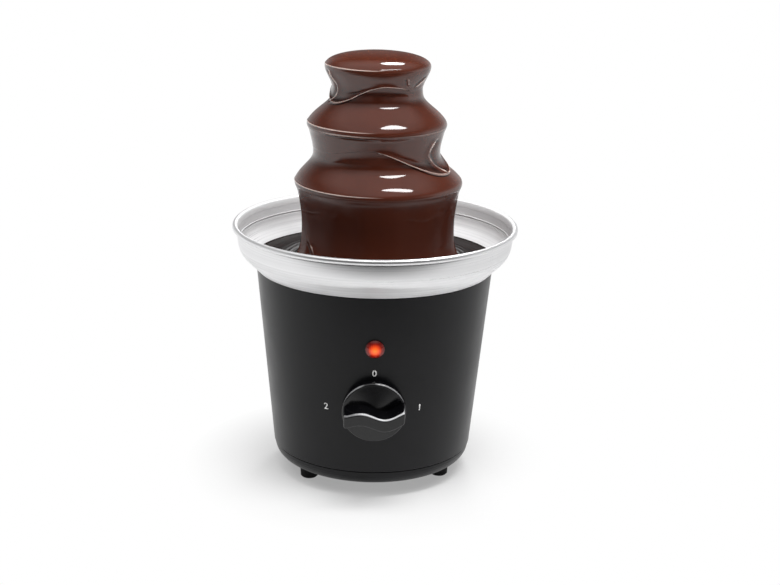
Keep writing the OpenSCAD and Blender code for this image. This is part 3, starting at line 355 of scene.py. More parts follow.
def arc(centre, radius, start, end, count):
    """Points of an arc, its angles in degrees."""
    turns = np.radians(np.linspace(start, end, count))
    return [(centre[0] + radius * math.cos(a), centre[1] + radius * math.sin(a)) for a in turns]


def revolve(name, outline, steps, looped=False):
    """Turns an outline of radii and heights round the Z axis."""
    turns = 2 * np.pi * np.arange(steps) / steps
    rows = [[(r * math.cos(a), r * math.sin(a), z) for a in turns] for r, z in outline]
    return skin_mesh(name, rows, looped=looped)


def knob_outline():
    """The disc from the middle of its coned face, over the rounded rim and in to the open back."""
    face_r = knob_r - knob_edge
    face = [(face_r * t, knob_rim_h + cone_h * (1 - t)) for t in np.linspace(0, 1, 30)[:-1]]
    rim = arc((face_r, knob_rim_h - knob_edge), knob_edge, 90, 0, 10)
    side = [(knob_r, knob_rim_h - 1.5 * knob_edge), (knob_r, knob_foot_h + 2.5 * knob_chamfer),
            (knob_r, knob_foot_h + knob_chamfer), (knob_r - knob_chamfer, knob_foot_h)]
    back = [(knob_hollow_r, knob_foot_h), (knob_hollow_r, knob_hollow_h), (0, knob_hollow_h)]
    return face + rim + side + back


def grip_line(x):
    """Height of the middle of the bar at a place along it: an S that bows up at both ends."""
    return grip_bow * (x / knob_r) ** 2 - grip_swing * math.sin(2 * math.pi * x / grip_wave)


def grip_rows(steps=90, end_steps=8):
    """Sections of the bar along its length, drawn in at the ends to round them."""
    ends = [(grip_end - grip_edge * (1 - math.sin(a)), grip_edge * (1 - math.cos(a)))
            for a in np.radians(np.linspace(0, 90, end_steps))][1:]
    along = [(x, 0) for x in np.linspace(grip_edge - grip_end, grip_end - grip_edge, steps)]
    rows = []
    for x, draw in [(-x, draw) for x, draw in reversed(ends)] + along + ends:
        side, top = grip_half - draw, grip_top_h - draw
        land = side - grip_edge
        half = ([(0.8 * land, top)] + arc((land, top - grip_edge), grip_edge, 90, 0, 9)
                + [(side, top - 2 * grip_edge), (side, grip_root_h)])
        section = [(-y, z) for y, z in reversed(half)] + half
        rows.append([(x, grip_line(x) + y, z) for y, z in section])
    return rows


def joined(piece, other):
    """Melts another piece into this one, as one moulding."""
    union = piece.modifiers.new("union", "BOOLEAN")
    union.operation = "UNION"
    union.solver = "EXACT"
    union.object = other
    whole = bpy.data.meshes.new_from_object(piece.evaluated_get(bpy.context.evaluated_depsgraph_get()))
    piece.modifiers.clear()
    piece.data = whole
    bpy.data.objects.remove(other)
    shade(whole)


def product(tree, first, *others):
    """Masks and values multiplied together."""
    result = first
    for other in others:
        result = maths(tree, "MULTIPLY", result, other)
    return result


def highlighted_black():
    """Gloss black plastic with a painted highlight along its upper edges, on the bar and the rim."""
    made = moulded("knob_black", "08080a", 0.16, grain=2200, depth=0.006 * mm)
    tree = made.node_tree
    skin = add(tree, "NewGeometry").outputs
    place = place_on(tree)
    at = split(tree, place)
    # Painted highlight: a pale colour on sharp edges that face up, where light from above would catch them.
    edge = scaled(tree, skin["Pointiness"], 0.507, 0.513)
    upper = scaled(tree, split(tree, skin["Normal"])["Z"], 0.25, 0.6)
    bar_top = scaled(tree, at["Z"], *bar_highlight_z)
    highlight_along_bar = scaled(tree, at["X"], *bar_highlight_x, low=0.3)
    outer = scaled(tree, length(tree, way_out(tree, place)), *rim_highlight_r, high=0.5)
    above = maths(tree, "GREATER_THAN", at["Z"], knob_rim_h - knob_edge)
    aside = maths(tree, "ABSOLUTE", maths(tree, "SUBTRACT", at["X"], highlight_gap_x))
    highlight_gap = scaled(tree, aside, *highlight_gap_half, low=0.08)
    where = maths(tree, "MAXIMUM", product(tree, bar_top, highlight_along_bar), product(tree, outer, above, highlight_gap))
    tone = add(tree, "MixRGB", {"Fac": product(tree, edge, upper, where), "Color2": linear("c4c4c6"),
                                "Color1": tree.nodes["Group"].outputs["Colour"]})
    feed_surface(made, {"Base Color": tone.outputs["Color"]})
    return made


knob = revolve("knob", knob_outline(), steps=180)
joined(knob, skin_mesh("grip", grip_rows(), capped=True, looped=False))
knob.matrix_world = facing_place(sideways, wall_out, Vector(knob_turn["pos_m"]))
finish_piece(knob, highlighted_black(), "knob_black", "knob", "control_knob")


# Dial numbers: 0, 1 and 2 round the knob, printed in white on the wall.
# Each is a thin film that follows the taper of the wall.

wall_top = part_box("housing")[1]
print_white = moulded("print_white", "e6e6e4", 0.5, grain=1500, depth=0.01 * mm)
number_h = 4.4 * mm
number_share = 0.72
stroke_gain = 0.02
print_film = 0.08 * mm
numbers = [("0", 0, 90 * mm), ("1", 24.5, 64 * mm), ("2", -25.5, 64 * mm)]


def wall_r(z):
    """Outer radius of the housing's wall at a height."""
    return wall_top.x - (wall_top.z - z) * math.tan(wall_tilt)


def wall_print(text, azimuth, z):
    """A number printed on the wall, with its middle at an azimuth from the front and a height."""
    letters = bpy.data.curves.new("number_" + text, "FONT")
    letters.body = text
    letters.size = number_h / number_share
    letters.align_x = "CENTER"
    letters.align_y = "CENTER"
    letters.offset = stroke_gain * number_h
    flat = put_in_scene("flat_number", letters)
    bpy.context.view_layer.update()
    data = bpy.data.meshes.new_from_object(flat)
    bpy.data.objects.remove(flat)
    work = bmesh.new()
    work.from_mesh(data)
    bmesh.ops.remove_doubles(work, verts=work.verts, dist=1e-7)
    front = bmesh.ops.extrude_face_region(work, geom=work.faces[:])
    raised = {v for v in front["geom"] if isinstance(v, bmesh.types.BMVert)}
    for vert in work.verts:
        r = wall_r(z + vert.co.y) + (print_film if vert in raised else -print_film / 4)
        turn = math.radians(azimuth) + vert.co.x / wall_r(z)
        vert.co = Vector((r * math.sin(turn), -r * math.cos(turn), z + vert.co.y * math.cos(wall_tilt)))
    bmesh.ops.recalc_face_normals(work, faces=work.faces)
    work.to_mesh(data)
    work.free()
    return put_in_scene("number_" + text, data)


for text, azimuth, z in numbers:
    finish_piece(wall_print(text, azimuth, z), print_white, "pale_nylon", "base")


# Lamp: a red lens with a domed front, pushed into the wall and held by a ring behind it.
# A glass bulb in its barrel lights the middle of the dome.

lamp_z = 107.3 * mm
lens_low, lens_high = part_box("lamp_lens")
lens_r = (lens_high.x - lens_low.x) / 2
barrel_r = 5 * mm
barrel_l = 16 * mm
barrel_wall = 1.1 * mm
lens_seat = 0.3 * mm
lens_edge = 0.8 * mm
dome_h = 2.6 * mm
roof_depth = 1 * mm
roof_slant = 1.5 * mm
glow_bands = {0.0: "ff8a2a", 0.3: "fb6a26", 0.52: "d8401a", 0.74: "6a140c", 0.95: "1c0604"}


def lens_outline():
    """From the middle of the dome to the edge, down the barrel and back inside it."""
    bulge = (lens_r ** 2 + dome_h ** 2) / (2 * dome_h)
    half = math.degrees(math.asin(lens_r / bulge))
    middle = (0, lens_seat + lens_edge + dome_h - bulge)
    inside = barrel_r - barrel_wall
    return (arc(middle, bulge, 90, 90 - half, 24)
            + [(lens_r, lens_seat), (barrel_r, lens_seat), (barrel_r, -barrel_l), (inside, -barrel_l),
               (inside, -roof_depth - roof_slant), (inside - roof_slant, -roof_depth), (0, -roof_depth)])


def lit_lens():
    """Red plastic that glows orange in the middle, where the bulb stands behind it."""
    made, tree = new_finish("lamp_red", {
        "Base Color": linear("5c0a06"), "Roughness": 0.1, "Emission Strength": 1})
    place = place_on(tree)
    ribs = add(tree, "TexWave", {"Vector": place, "Scale": 260, "Distortion": 0.6}, bands_direction="X")
    share = scaled(tree, length(tree, way_out(tree, place)), 0, lens_r)
    shift = maths(tree, "MULTIPLY_ADD", ribs.outputs["Fac"], 0.05, share)
    glow = add(tree, "ValToRGB", {"Fac": shift})
    bands = glow.color_ramp.elements
    while len(bands) < len(glow_bands):
        bands.new(0.5)
    for band, (at, colour) in zip(bands, glow_bands.items()):
        band.position = at
        band.color = linear(colour)
    feed_surface(made, {"Emission Color": glow.outputs["Color"]})
    return made


lens = revolve("lens", lens_outline(), steps=96)
lens.matrix_world = facing_place(sideways, wall_out, Vector((0, -wall_r(lamp_z), lamp_z)))
finish_piece(lens, lit_lens(), "lamp_red", "base", "lamp_lens")
dress(moulded("lamp_glass", "f0c9a0", 0.12, sockets={"Transmission Weight": 0.6}), "lamp_bulb")
dress(black_nylon, "lamp_clip")


# Gearbox: a pale nylon tray and lid, hung below the deck on four long screws.
# The idler turns on a steel pin and the output wheel is pressed on the drive shaft.

gear_nylon = moulded("gear_nylon", "efe9da", 0.4, grain=800, depth=0.012 * mm,
                     sockets={"Subsurface Weight": 0.08, "Subsurface Scale": 2 * mm})
bright_steel = turned_metal("bright_steel", "b9bcc0", 0.24, lines=3200)
dress(pale_nylon, "gearbox_base", "gearbox_cover")
dress(gear_nylon, "idler_gear", "output_gear")
dress(screw_steel, "gearbox_screws")
dress(bright_steel, "idler_pin", "drive_shaft")


# Motor: a shaded-pole motor with a laminated stack, a wound bobbin and die-cast bearing bridges.
# Two long screws hold it below the gearbox.

def laminated():
    """Punched steel sheets stacked along Z, with a thin groove between each two."""
    made = turned_metal("laminated_steel", "777c80", 0.42)
    tree = made.node_tree
    sheets = add(tree, "TexWave", {"Vector": place_on(tree), "Scale": 320}, bands_direction="Z")
    emboss(made, sheets.outputs["Fac"], strength=0.7, depth=0.08 * mm)
    return made


def wound_wire():
    """Enamelled copper wire in close turns round the bobbin, which lies along Y."""
    made = turned_metal("copper", "9c5a2a", 0.3)
    tree = made.node_tree
    turns = add(tree, "TexWave", {"Vector": place_on(tree), "Scale": 520, "Distortion": 0.4},
                bands_direction="Y")
    emboss(made, turns.outputs["Fac"], strength=0.8, depth=0.25 * mm)
    return made


cast_zinc = moulded("cast_zinc", "9fa2a5", 0.5, grain=600, depth=0.04 * mm, sockets={"Metallic": 1})
dress(laminated(), "stator_stack", "rotor")
dress(wound_wire(), "motor_coil")
dress(pale_nylon, "coil_bobbin")
dress(cast_zinc, "upper_bracket", "lower_bracket")
dress(bright_steel, "rotor_shaft")
dress(screw_steel, "motor_screws")
dress(turned_metal("brass", "c9a24a", 0.28), "motor_pinion")


# Heating: a tube element, a thermostat and a thermal fuse under an aluminium plate below the bowl.
# Nuts on the studs of the bowl hold the plate.

dress(cast_zinc, "heat_spreader")
dress(turned_metal("element_steel", "7f7a72", 0.45, lines=900), "heater_element")
dress(pale_nylon, "thermostat")
dress(moulded("fuse_lacquer", "c8b98c", 0.35), "thermal_fuse")
dress(screw_steel, "fuse_clip", "spreader_nuts")


# Bowl: spun from one aluminium sheet, with a rolled bead, an upright band and a satin finish.
# Its sloping side rests in the housing, and the hub clamps its floor to the deck.

bowl_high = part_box("bowl")[1]
bead_d = 3.6 * mm
bead_lap = 1.9 * mm
bead_drop = 2.5 * mm
sheet_t = 1.2 * mm
rim_z = bowl_high.z - bead_d / 2
rim_r = bowl_high.x
band_r = rim_r - bead_d / 2 - bead_lap
band_h = 9 * mm
band_flare = 0.9 * mm
shoulder_r = 14 * mm
crease_d = 0.5 * mm
crease_h = 0.2 * mm
floor_round = 8 * mm
bowl_floor_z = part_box("tower_pins")[0].z
hub_hole_r = 7.3 * mm
root2 = math.sqrt(2)


def bowl_outline(steps=26):
    """Under the floor, up the slope at 45 degrees and the bowed band, round the bead and down inside."""
    shoulder = (band_r - shoulder_r, rim_z - band_h)
    side = shoulder[0] + shoulder_r * root2 - shoulder[1]
    low_z = bowl_floor_z - sheet_t + floor_round
    corner = (low_z + side - floor_round * root2, low_z)
    bead = (rim_r - bead_d / 2, rim_z)
    inner_r = shoulder_r - sheet_t
    lean = 2 * math.degrees(math.atan2(band_flare, band_h))
    rise = band_h + shoulder_r * math.sin(math.radians(lean))
    bow = rise / math.sin(math.radians(lean))
    band = (band_r + band_flare - bow, rim_z)
    under_bead = math.degrees(math.asin(bead_drop / bow))
    crease = [(0, 3 * crease_h), (crease_d, crease_h), (crease_d, -crease_h)]
    return ([(hub_hole_r, bowl_floor_z - sheet_t)]
            + arc(corner, floor_round, -90, -45, steps)
            + arc(shoulder, shoulder_r, -45, -lean, steps)
            + arc(band, bow, -lean, -under_bead, 16)[1:]
            + arc(bead, bead_d / 2, -140, 165, 30)
            + arc(band, bow - sheet_t, -under_bead, -0.7 * lean, 12)
            + [(shoulder[0] + inner_r + r, shoulder[1] + z) for r, z in crease]
            + arc(shoulder, inner_r, -4, -45, steps)
            + arc(corner, floor_round - sheet_t, -45, -90, steps)
            + [(hub_hole_r, bowl_floor_z)])


def spun_metal():
    """Spun aluminium: bright outside, duller where it turns under, and etched pale where it holds food."""
    made = turned_metal("bowl_metal", "f4f4f5", 0.32, lines=900, depth=0.003 * mm,
                        sockets={"Anisotropic": 0.7})
    tree = made.node_tree
    normal = add(tree, "NewGeometry").outputs["Normal"]
    out = add(tree, "VectorMath", {0: way_out(tree, place_on(tree))}, operation="NORMALIZE")
    facing = add(tree, "VectorMath", {0: out.outputs["Vector"], 1: normal}, operation="DOT_PRODUCT")
    outside = scaled(tree, facing.outputs["Value"], -0.1, 0.25, low=0.12, high=0.95)
    under = scaled(tree, split(tree, normal)["Z"], -0.5, -0.2, low=0.42)
    feed_surface(made, {"Metallic": product(tree, outside, under)})
    return made


spun_bowl = revolve("spun_bowl", bowl_outline(), steps=320, looped=True)
finish_piece(spun_bowl, spun_metal(), "bowl_metal", "base", "bowl")
dress(bright_steel, "tower_pins")


# Hub: a nylon bushing with a silicone gasket above the bowl floor and a nut below the deck.
# A lip seal on its neck keeps chocolate out of the bearing.

dress(pale_nylon, "hub_bushing", "hub_nut")
dress(moulded("silicone", "9a3d2a", 0.55, grain=700), "hub_gasket")
dress(moulded("seal_rubber", "2c2c2e", 0.6, grain=800), "shaft_seal")


# Tower and auger: a stepped metal tube, two tiers and a crown that stack on it, and a nylon spiral.
# The tower stands on the bowl floor over its pins; the spiral turns on the flats of the drive shaft.

tower_metal = turned_metal("tower_metal", "cfd0cf", 0.3, lines=1300)
dress(tower_metal, "tower_tube", "lower_tier", "middle_tier", "crown")
dress(moulded("auger_nylon", "ebe6da", 0.35, grain=700, depth=0.015 * mm), "auger")


# Chocolate in the bowl: a still, dark pool round the foot of the tower.
# Rings spread from where the curtain runs into it, and its edge climbs the bowl a little.

flow_low, flow_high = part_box("chocolate_flow")
pool_low, pool_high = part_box("chocolate_pool")
pool_z = pool_high.z
pool_edge_r = pool_high.x
pool_hole_r = 28.6 * mm
pool_sink = 0.6 * mm
climb_h = 0.5 * mm
climb_w = 1.2 * mm
ring_r = 53 * mm
ring_h = 1.1 * mm
ring_fade = 5 * mm
calm_r = 40 * mm
calm_w = 8 * mm
# Trains of rings: share of the height, turns per millimetre in radians, wobble, lobes and phase
ring_trains = [(0.6, 1.5, 1.3, 3, 0.6), (0.4, 2.1, 1.9, 7, 2.1)]
# Heights where the painted edge highlights stop at the dome and start at the foot, and where the film turns
# wet
edge_highlight_dome = (flow_high.z - 6 * mm, flow_high.z - 4 * mm)
edge_highlight_foot = (pool_z + 2 * mm, pool_z + 5 * mm)
wet_span = (188 * mm, 202 * mm)
# Radii where the pool turns from wet to still
still_span = (58 * mm, 68 * mm)
columns = 480
around = 2 * np.pi * np.arange(columns) / columns


def make_melted():
    """Streaks that run down with the flow, painted shade in creases, painted highlights on sharp edges, and
    a film wetter above.
    """
    tree, given, made = effect(
        "melted",
        {"Colour": "colour", "Edge": "colour", "Roughness": "value", "Foot gloss": "value"},
        {"Colour": "colour", "Roughness": "value", "Height": "value", "Wet": "value"})
    place = place_on(tree)
    height = split(tree, place)["Z"]
    skin = add(tree, "NewGeometry").outputs
    drawn = add(tree, "Mapping", {"Vector": place, "Scale": (1, 1, 0.22)})
    streaks = noise(tree, drawn.outputs["Vector"], scale=60, detail=3)
    cloud = noise(tree, place, scale=18, detail=2)
    mean = product(tree, maths(tree, "ADD", streaks, cloud), 0.5)
    tone = toned(tree, given["Colour"], spread(tree, mean, 0.88, 1.12))
    # Painted shade darkens the creases; the Edge colour is a painted highlight on sharp convex edges.
    crease = scaled(tree, skin["Pointiness"], 0.48, 0.496, low=0.3)
    thin = scaled(tree, skin["Pointiness"], 0.511, 0.526)
    below_top = scaled(tree, height, *edge_highlight_dome, low=1, high=0)
    above_foot = scaled(tree, height, *edge_highlight_foot)
    edged = add(tree, "MixRGB", {"Fac": product(tree, thin, below_top, above_foot),
                                 "Color1": toned(tree, tone, crease), "Color2": given["Edge"]})
    wet = scaled(tree, height, *wet_span, low=given["Foot gloss"])
    steep = scaled(tree, split(tree, skin["Normal"])["Z"], 0.15, 0.6, low=1, high=0.55)
    drift = spread(tree, cloud, -0.015, 0.015)
    feed(tree, made, {"Colour": edged.outputs["Color"], "Height": streaks,
                      "Roughness": maths(tree, "ADD", given["Roughness"], drift),
                      "Wet": product(tree, wet, steep)})
    return tree


melted = make_melted()


def chocolate(name, colour, edge, roughness, foot_gloss):
    """Molten chocolate: brown in depth, under a wet film."""
    values = {"Colour": linear(colour), "Edge": linear(edge), "Roughness": roughness,
              "Foot gloss": foot_gloss}
    sockets = {"Specular IOR Level": 0, "Coat IOR": 1.65, "Coat Roughness": roughness,
               "Subsurface Weight": 0.08, "Subsurface Radius": (1, 0.35, 0.2), "Subsurface Scale": 3 * mm}
    made = effect_finish(name, melted, values, strength=0.25, depth=0.05 * mm, sockets=sockets)
    feed_surface(made, {"Coat Weight": made.node_tree.nodes["Group"].outputs["Wet"]})
    return made


def rippled():
    """The pool's chocolate: the flow's chocolate made darker as painted shade, dull where it stands still,
    and wet in the rings round the curtain.
    """
    # Painted shade: this brown is far darker than the flow's, and the edge colour is a dimmer painted
    # highlight.
    made = chocolate("chocolate_dark", "140b09", edge="2c1a15", roughness=0.06, foot_gloss=0.3)
    tree = made.node_tree
    radius = length(tree, way_out(tree, place_on(tree)))
    feed_surface(made, {"Coat Weight": scaled(tree, radius, *still_span, low=1, high=0.2)})
    return made


def at_azimuth(radius, turn, z):
    """Points at an azimuth that runs from the front towards +X."""
    return np.stack(np.broadcast_arrays(radius * np.sin(turn), -radius * np.cos(turn), z), -1)


def pool_rows(steps=110):
    """The surface from the hole to the bowl, then down the bowl's side and back below."""
    radii = np.linspace(pool_hole_r, pool_edge_r, steps)[:, None]
    out = radii - ring_r
    wave = sum(share * np.sin(out / mm * pitch + wobble * np.sin(lobes * around + phase))
               for share, pitch, wobble, lobes, phase in ring_trains)
    calm = np.clip((radii - calm_r) / calm_w, 0, 1)
    ripple = ring_h * wave * np.exp(-np.clip(out, 0, None) / ring_fade) * calm
    climb = climb_h * np.exp(-(pool_edge_r - radii) / climb_w)
    top = at_azimuth(radii, around, pool_z - pool_sink + ripple + climb)
    corners = [pool_edge_r - (pool_z - pool_low.z), pool_hole_r]
    underside = [at_azimuth(r, around, np.full(columns, pool_low.z)) for r in corners]
    return np.concatenate([top, np.array(underside)])


pool = skin_mesh("pool", pool_rows())
finish_piece(pool, rippled(), "chocolate", "base", "chocolate_pool")


# Chocolate on the tower: a dome over the crown, then three falls from tier to tier.
# Each fall hangs from a crisp lip, and its hem trails over the next tier in tongues and folds.

crown_r, neck_r = 34.6 * mm, 29.5 * mm
middle_r, waist_r = 45.9 * mm, 41.8 * mm
lower_r, curtain_r = 55.4 * mm, 50.6 * mm
dome_rise = 9 * mm
dome_fullness = 2.3
crown_lip_z = flow_high.z - dome_rise
middle_lip_z = bowl_floor_z + 110.4 * mm
lower_lip_z = bowl_floor_z + 71.2 * mm
flow_foot_z = flow_low.z
sway = 1.6 * mm
sway_h = 14 * mm
film_t = 2.2 * mm
cap_r = 18.7 * mm
cap_gap = 0.6 * mm
lip_gap = 4 * mm
shell_r = 20 * mm


def ease(t):
    """A smooth step from 0 to 1."""
    t = np.clip(t, 0, 1)
    return t * t * (3 - 2 * t)


def below(z, top, span):
    """0 above a height and 1 from a span below it, with a smooth step between."""
    return ease((top - z) / span)


def spline(points, steps=40):
    """A smooth curve through points, each stretch of it bent by the points on both sides."""
    points = np.array(points, float)
    row = np.vstack([2 * points[0] - points[1], points, 2 * points[-1] - points[-2]])
    t = np.linspace(0, 1, steps, endpoint=False)[:, None]
    curve = []
    for before, start, end, after in zip(row, row[1:], row[2:], row[3:]):
        bend = 2 * before - 5 * start + 4 * end - after
        twist = 3 * start - before - 3 * end + after
        curve.append(0.5 * (2 * start + (end - before) * t + bend * t ** 2 + twist * t ** 3))
    return np.vstack(curve + [points[-1:]])


def flow_profile():
    """The outline of the chocolate from the top of the dome to the pool."""
    turn = np.pi / 2 * np.linspace(0, 1, 200)
    dome = np.stack([crown_r * np.sin(turn) ** (2 / dome_fullness),
                     crown_lip_z + dome_rise * np.cos(turn) ** (2 / dome_fullness)], 1)
    first_fall = [(crown_r, crown_lip_z), (crown_r - 0.5 * mm, crown_lip_z - 2.4 * mm),
                  (crown_r - 2.5 * mm, crown_lip_z - 6.8 * mm),
                  (crown_r - 4.4 * mm, crown_lip_z - 10.8 * mm), (neck_r, crown_lip_z - 15.2 * mm),
                  (neck_r + 2 * mm, middle_lip_z + 15.3 * mm), (middle_r - 4.1 * mm, middle_lip_z + 6 * mm)]
    second_fall = [(middle_r, middle_lip_z), (middle_r - 1.7 * mm, middle_lip_z - 5.7 * mm),
                   (waist_r, middle_lip_z - 17.2 * mm), (waist_r + 1.7 * mm, lower_lip_z + 14.5 * mm),
                   (lower_r - 2.8 * mm, lower_lip_z + 5.2 * mm)]
    curtain = [(lower_r, lower_lip_z), (lower_r - 2.4 * mm, lower_lip_z - 7.5 * mm),
               (curtain_r, lower_lip_z - 24 * mm), (curtain_r + 0.4 * mm, pool_z + 12 * mm),
               (curtain_r + 3.9 * mm, flow_foot_z)]
    return np.vstack([dome[:-1], spline(first_fall + second_fall + curtain)])


def wrapped(turn, centre):
    """The angle from a centre in degrees, between half a turn either way."""
    return (np.degrees(turn) - centre + 180) % 360 - 180


def tongue(turn, centre, half_width):
    """A rounded lobe round an azimuth: 1 in the middle and 0 beyond its half width."""
    off = np.clip(np.abs(wrapped(turn, centre)) / half_width, 0, 1)
    return np.cos(np.pi / 2 * off) ** 2


def hem_line(top_z, tongues):
    """Height of the lower edge of a fall at each azimuth."""
    return top_z - sum(drop * tongue(around, centre, half_width) for centre, half_width, drop in tongues)


def hem(z, edge, bead):
    """The rolled lower edge of a fall, round at the edge and thinning out upwards."""
    nose_r, roll_h, thinning_h = 0.8 * mm, 1.6 * mm, 7 * mm
    above = z - edge
    nose = np.sqrt(1 - (1 - np.clip(above / nose_r, 0, 1)) ** 2)
    past = np.clip(above - nose_r, 0, None)
    return bead * nose * (0.25 * np.exp(-past / thinning_h) + 0.75 * np.exp(-past / roll_h))


def fading(turn, centre, half_width):
    """1 all round but for a stretch round an azimuth, where an edge melts into the tier below."""
    melted_share, blend_width = 0.92, 25
    return 1 - melted_share * ease((half_width - np.abs(wrapped(turn, centre))) / blend_width)


def fold(turn, z, path, height, width):
    """A crease in a fall: a sharp ridge along a path of azimuths and heights, hollow on one side."""
    azimuths, heights = zip(*sorted(path, key=lambda point: point[1]))
    line = np.interp(z, np.array(heights) * mm, azimuths)
    low, high = min(heights) * mm, max(heights) * mm
    there = ease((z - low) / (2 * mm)) * below(z, high, 3 * mm)
    off = wrapped(turn, line) / width
    ridge = np.exp(-np.abs(off) ** 1.2)
    hollow = 0.9 * np.exp(-(off + 1.6) ** 2)
    return height * there * (ridge - hollow)


def lip_line(turn, z, line_z, height, half_h, centre, half_width):
    """A thin line along the edge of a tier, raised or sunk, on the side that faces an azimuth."""
    return height * np.exp(-((z - line_z) / half_h) ** 2) * tongue(turn, centre, half_width) ** 0.5


# Tongues of a hem: azimuth and half width in degrees, and how far each hangs down
first_hem = hem_line(266.5 * mm, [
    (-62, 72, 14.2 * mm), (54, 45, 4.3 * mm), (128, 60, 10 * mm), (205, 50, 6 * mm)])
second_hem = hem_line(227.5 * mm, [
    (68, 80, 20 * mm), (-60, 60, 5 * mm), (170, 70, 12 * mm), (250, 45, 6 * mm)])
# Hems: line, bead, the lip above, and the azimuth and half width in degrees where it melts away
hems = [(first_hem, 1.4 * mm, crown_lip_z, 68, 48), (second_hem, 1.5 * mm, middle_lip_z, -55, 75)]
# Folds: path in degrees and in millimetres above the table, height, and half width in degrees
folds = [
    ([(-66, 275), (-62, 271.7), (-55, 266), (-57, 260.6), (-67, 253.8), (-69, 252)], 1.5 * mm, 4),
    ([(66, 232), (59, 226), (57.4, 222), (66, 214), (75, 208)], -1.5 * mm, 4),
    ([(34, 273), (38, 266)], 0.4 * mm, 2.5),
    ([(73, 272), (52, 264)], 0.6 * mm, 3),
    ([(-60, 163), (-54, 157), (-50, 150)], 0.8 * mm, 4),
    ([(66, 188), (62, 172), (63, 160)], 0.35 * mm, 4)]
# Lines at the lips: height above the table, how far out, half thickness, azimuth and half width
lip_lines = [
    (middle_lip_z - 3 * mm, -0.6 * mm, 0.8 * mm, -26, 30),
    (crown_lip_z + 1.7 * mm, 0.4 * mm, 0.5 * mm, -50, 62),
    (middle_lip_z + 1.2 * mm, 0.4 * mm, 0.5 * mm, -55, 62),
    (lower_lip_z + 1.2 * mm, 0.4 * mm, 0.5 * mm, -60, 70)]
# Waves round the falls: height, number of waves and phase
fall_waves = [(0.25 * mm, 5, 0.4), (0.2 * mm, 9, 2), (0.15 * mm, 14, 4.4)]


def relief(turn, z):
    """How far hems, folds, lines and waves stand out of the outline."""
    out = np.zeros_like(z)
    for edge, bead, lip_z, melts_at, half_width in hems:
        hung = below(z, lip_z - 1 * mm, 3 * mm)
        out += hem(z, edge, bead) * hung * fading(turn, melts_at, half_width)
    for path, height, width in folds:
        out += fold(turn, z, path, height, width)
    for line in lip_lines:
        out += lip_line(turn, z, *line)
    wave = sum(height * np.sin(count * turn + phase) for height, count, phase in fall_waves)
    in_curtain = below(z, lower_lip_z - 4 * mm, 10 * mm)
    below_dome = below(z, flow_high.z - 4 * mm, 6 * mm)
    return out + wave * (0.3 + in_curtain) * below_dome


flow_outline = flow_profile()
flow_run = np.concatenate([[0], np.cumsum(np.linalg.norm(np.diff(flow_outline, axis=0), axis=1))])
flow_slope = np.gradient(flow_outline, axis=0)
flow_slope /= np.linalg.norm(flow_slope, axis=1)[:, None]


def run_at(z):
    """How far down the outline a height lies."""
    return np.interp(z, flow_outline[::-1, 1], flow_run[::-1])


def row_runs():
    """How far down the outline each row lies at each azimuth. Rows crowd at the lips and hems."""
    lip_span, hem_span = (3 * mm, 1 * mm), (1.8 * mm, 0.6 * mm)
    edge_rows, curtain_rows = 14, 56
    edges = [(crown_lip_z, lip_span, 34), (first_hem, hem_span, 20), (middle_lip_z, lip_span, 24),
             (second_hem, hem_span, 20), (lower_lip_z, lip_span, 24)]
    stops = [(0, 0)]
    for edge_z, (before, after), open_rows in edges:
        stops += [(run_at(edge_z) - before, open_rows), (run_at(edge_z) + after, edge_rows)]
    stops.append((flow_run[-1], curtain_rows))
    runs = [np.zeros((1, columns))]
    for (start, _), (end, count) in zip(stops, stops[1:]):
        share = np.arange(1, count + 1)[:, None] / count
        runs.append(start + (end - start) * share * np.ones((1, columns)))
    return np.vstack(runs)


def flow_outside():
    """Rows of points down the outside, with its relief and a slight sway in the curtain."""
    along = row_runs()
    radius, z = (np.interp(along, flow_run, flow_outline[:, i]) for i in (0, 1))
    lean, drop = (np.interp(along, flow_run, flow_slope[:, i]) for i in (0, 1))
    out = relief(np.broadcast_to(around, z.shape), z) / np.hypot(lean, drop)
    outside = at_azimuth(radius - drop * out, around, np.maximum(z + lean * out, flow_foot_z))
    outside[..., 0] += sway * below(z, lower_lip_z + sway_h, sway_h)
    return outside


def flow_inside(every=8):
    """Rows of points up the inside from the foot, over the crown's lip and in to the axis."""
    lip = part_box("crown")[1]
    cap_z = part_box("auger")[1].z + cap_gap
    under = flow_outline + film_t * np.stack([flow_slope[:, 1], -flow_slope[:, 0]], 1)
    hung = (flow_outline[:, 1] < lip.z - lip_gap) & (flow_outline[:, 0] > shell_r)
    up = [(r, max(z, flow_foot_z)) for r, z in under[hung][::-every]]
    over = [(lip.x + 0.6 * mm, lip.z + 0.3 * mm), (lip.x - 1.2 * mm, lip.z + 0.5 * mm),
            (cap_r + 2 * mm, cap_z + 0.9 * mm), (cap_r, cap_z), (0, cap_z)]
    return np.array([at_azimuth(r, around, np.full(columns, z)) for r, z in up + over])


flow = skin_mesh("flow", np.concatenate([flow_outside(), flow_inside()]), looped=False)
# The edge colour is a painted highlight.
flow_brown = chocolate("chocolate_flow", "4a2216", edge="c9b3aa", roughness=0.05, foot_gloss=0.18)
finish_piece(flow, flow_brown, "chocolate", "tower", "chocolate_flow")


# Studio: a white floor in a white room, with four soft lamps and a camera in front, a little above.
# Floor and room are plain white to the camera. What reflections see of them is dim in front,
# so that dark plastic, metal and chocolate get soft dark bands instead of an even white.

dim_front = (-460 * mm, -250 * mm)
dim_right = (-250 * mm, 250 * mm)
shadow_fade = (55 * mm, 130 * mm)
lamp_target = Vector((0, 0, 200 * mm))


def looked_at(tree, rays):
    """1 for what is seen straight or through glass."""
    return maths(tree, "MAXIMUM", rays["Is Camera Ray"], rays["Is Transmission Ray"])


def either(tree, share, first, second):
    """The first value where the share is 0, and the second where it is 1."""
    return add(tree, "Mix", {0: share, 2: first, 3: second}).outputs[0]


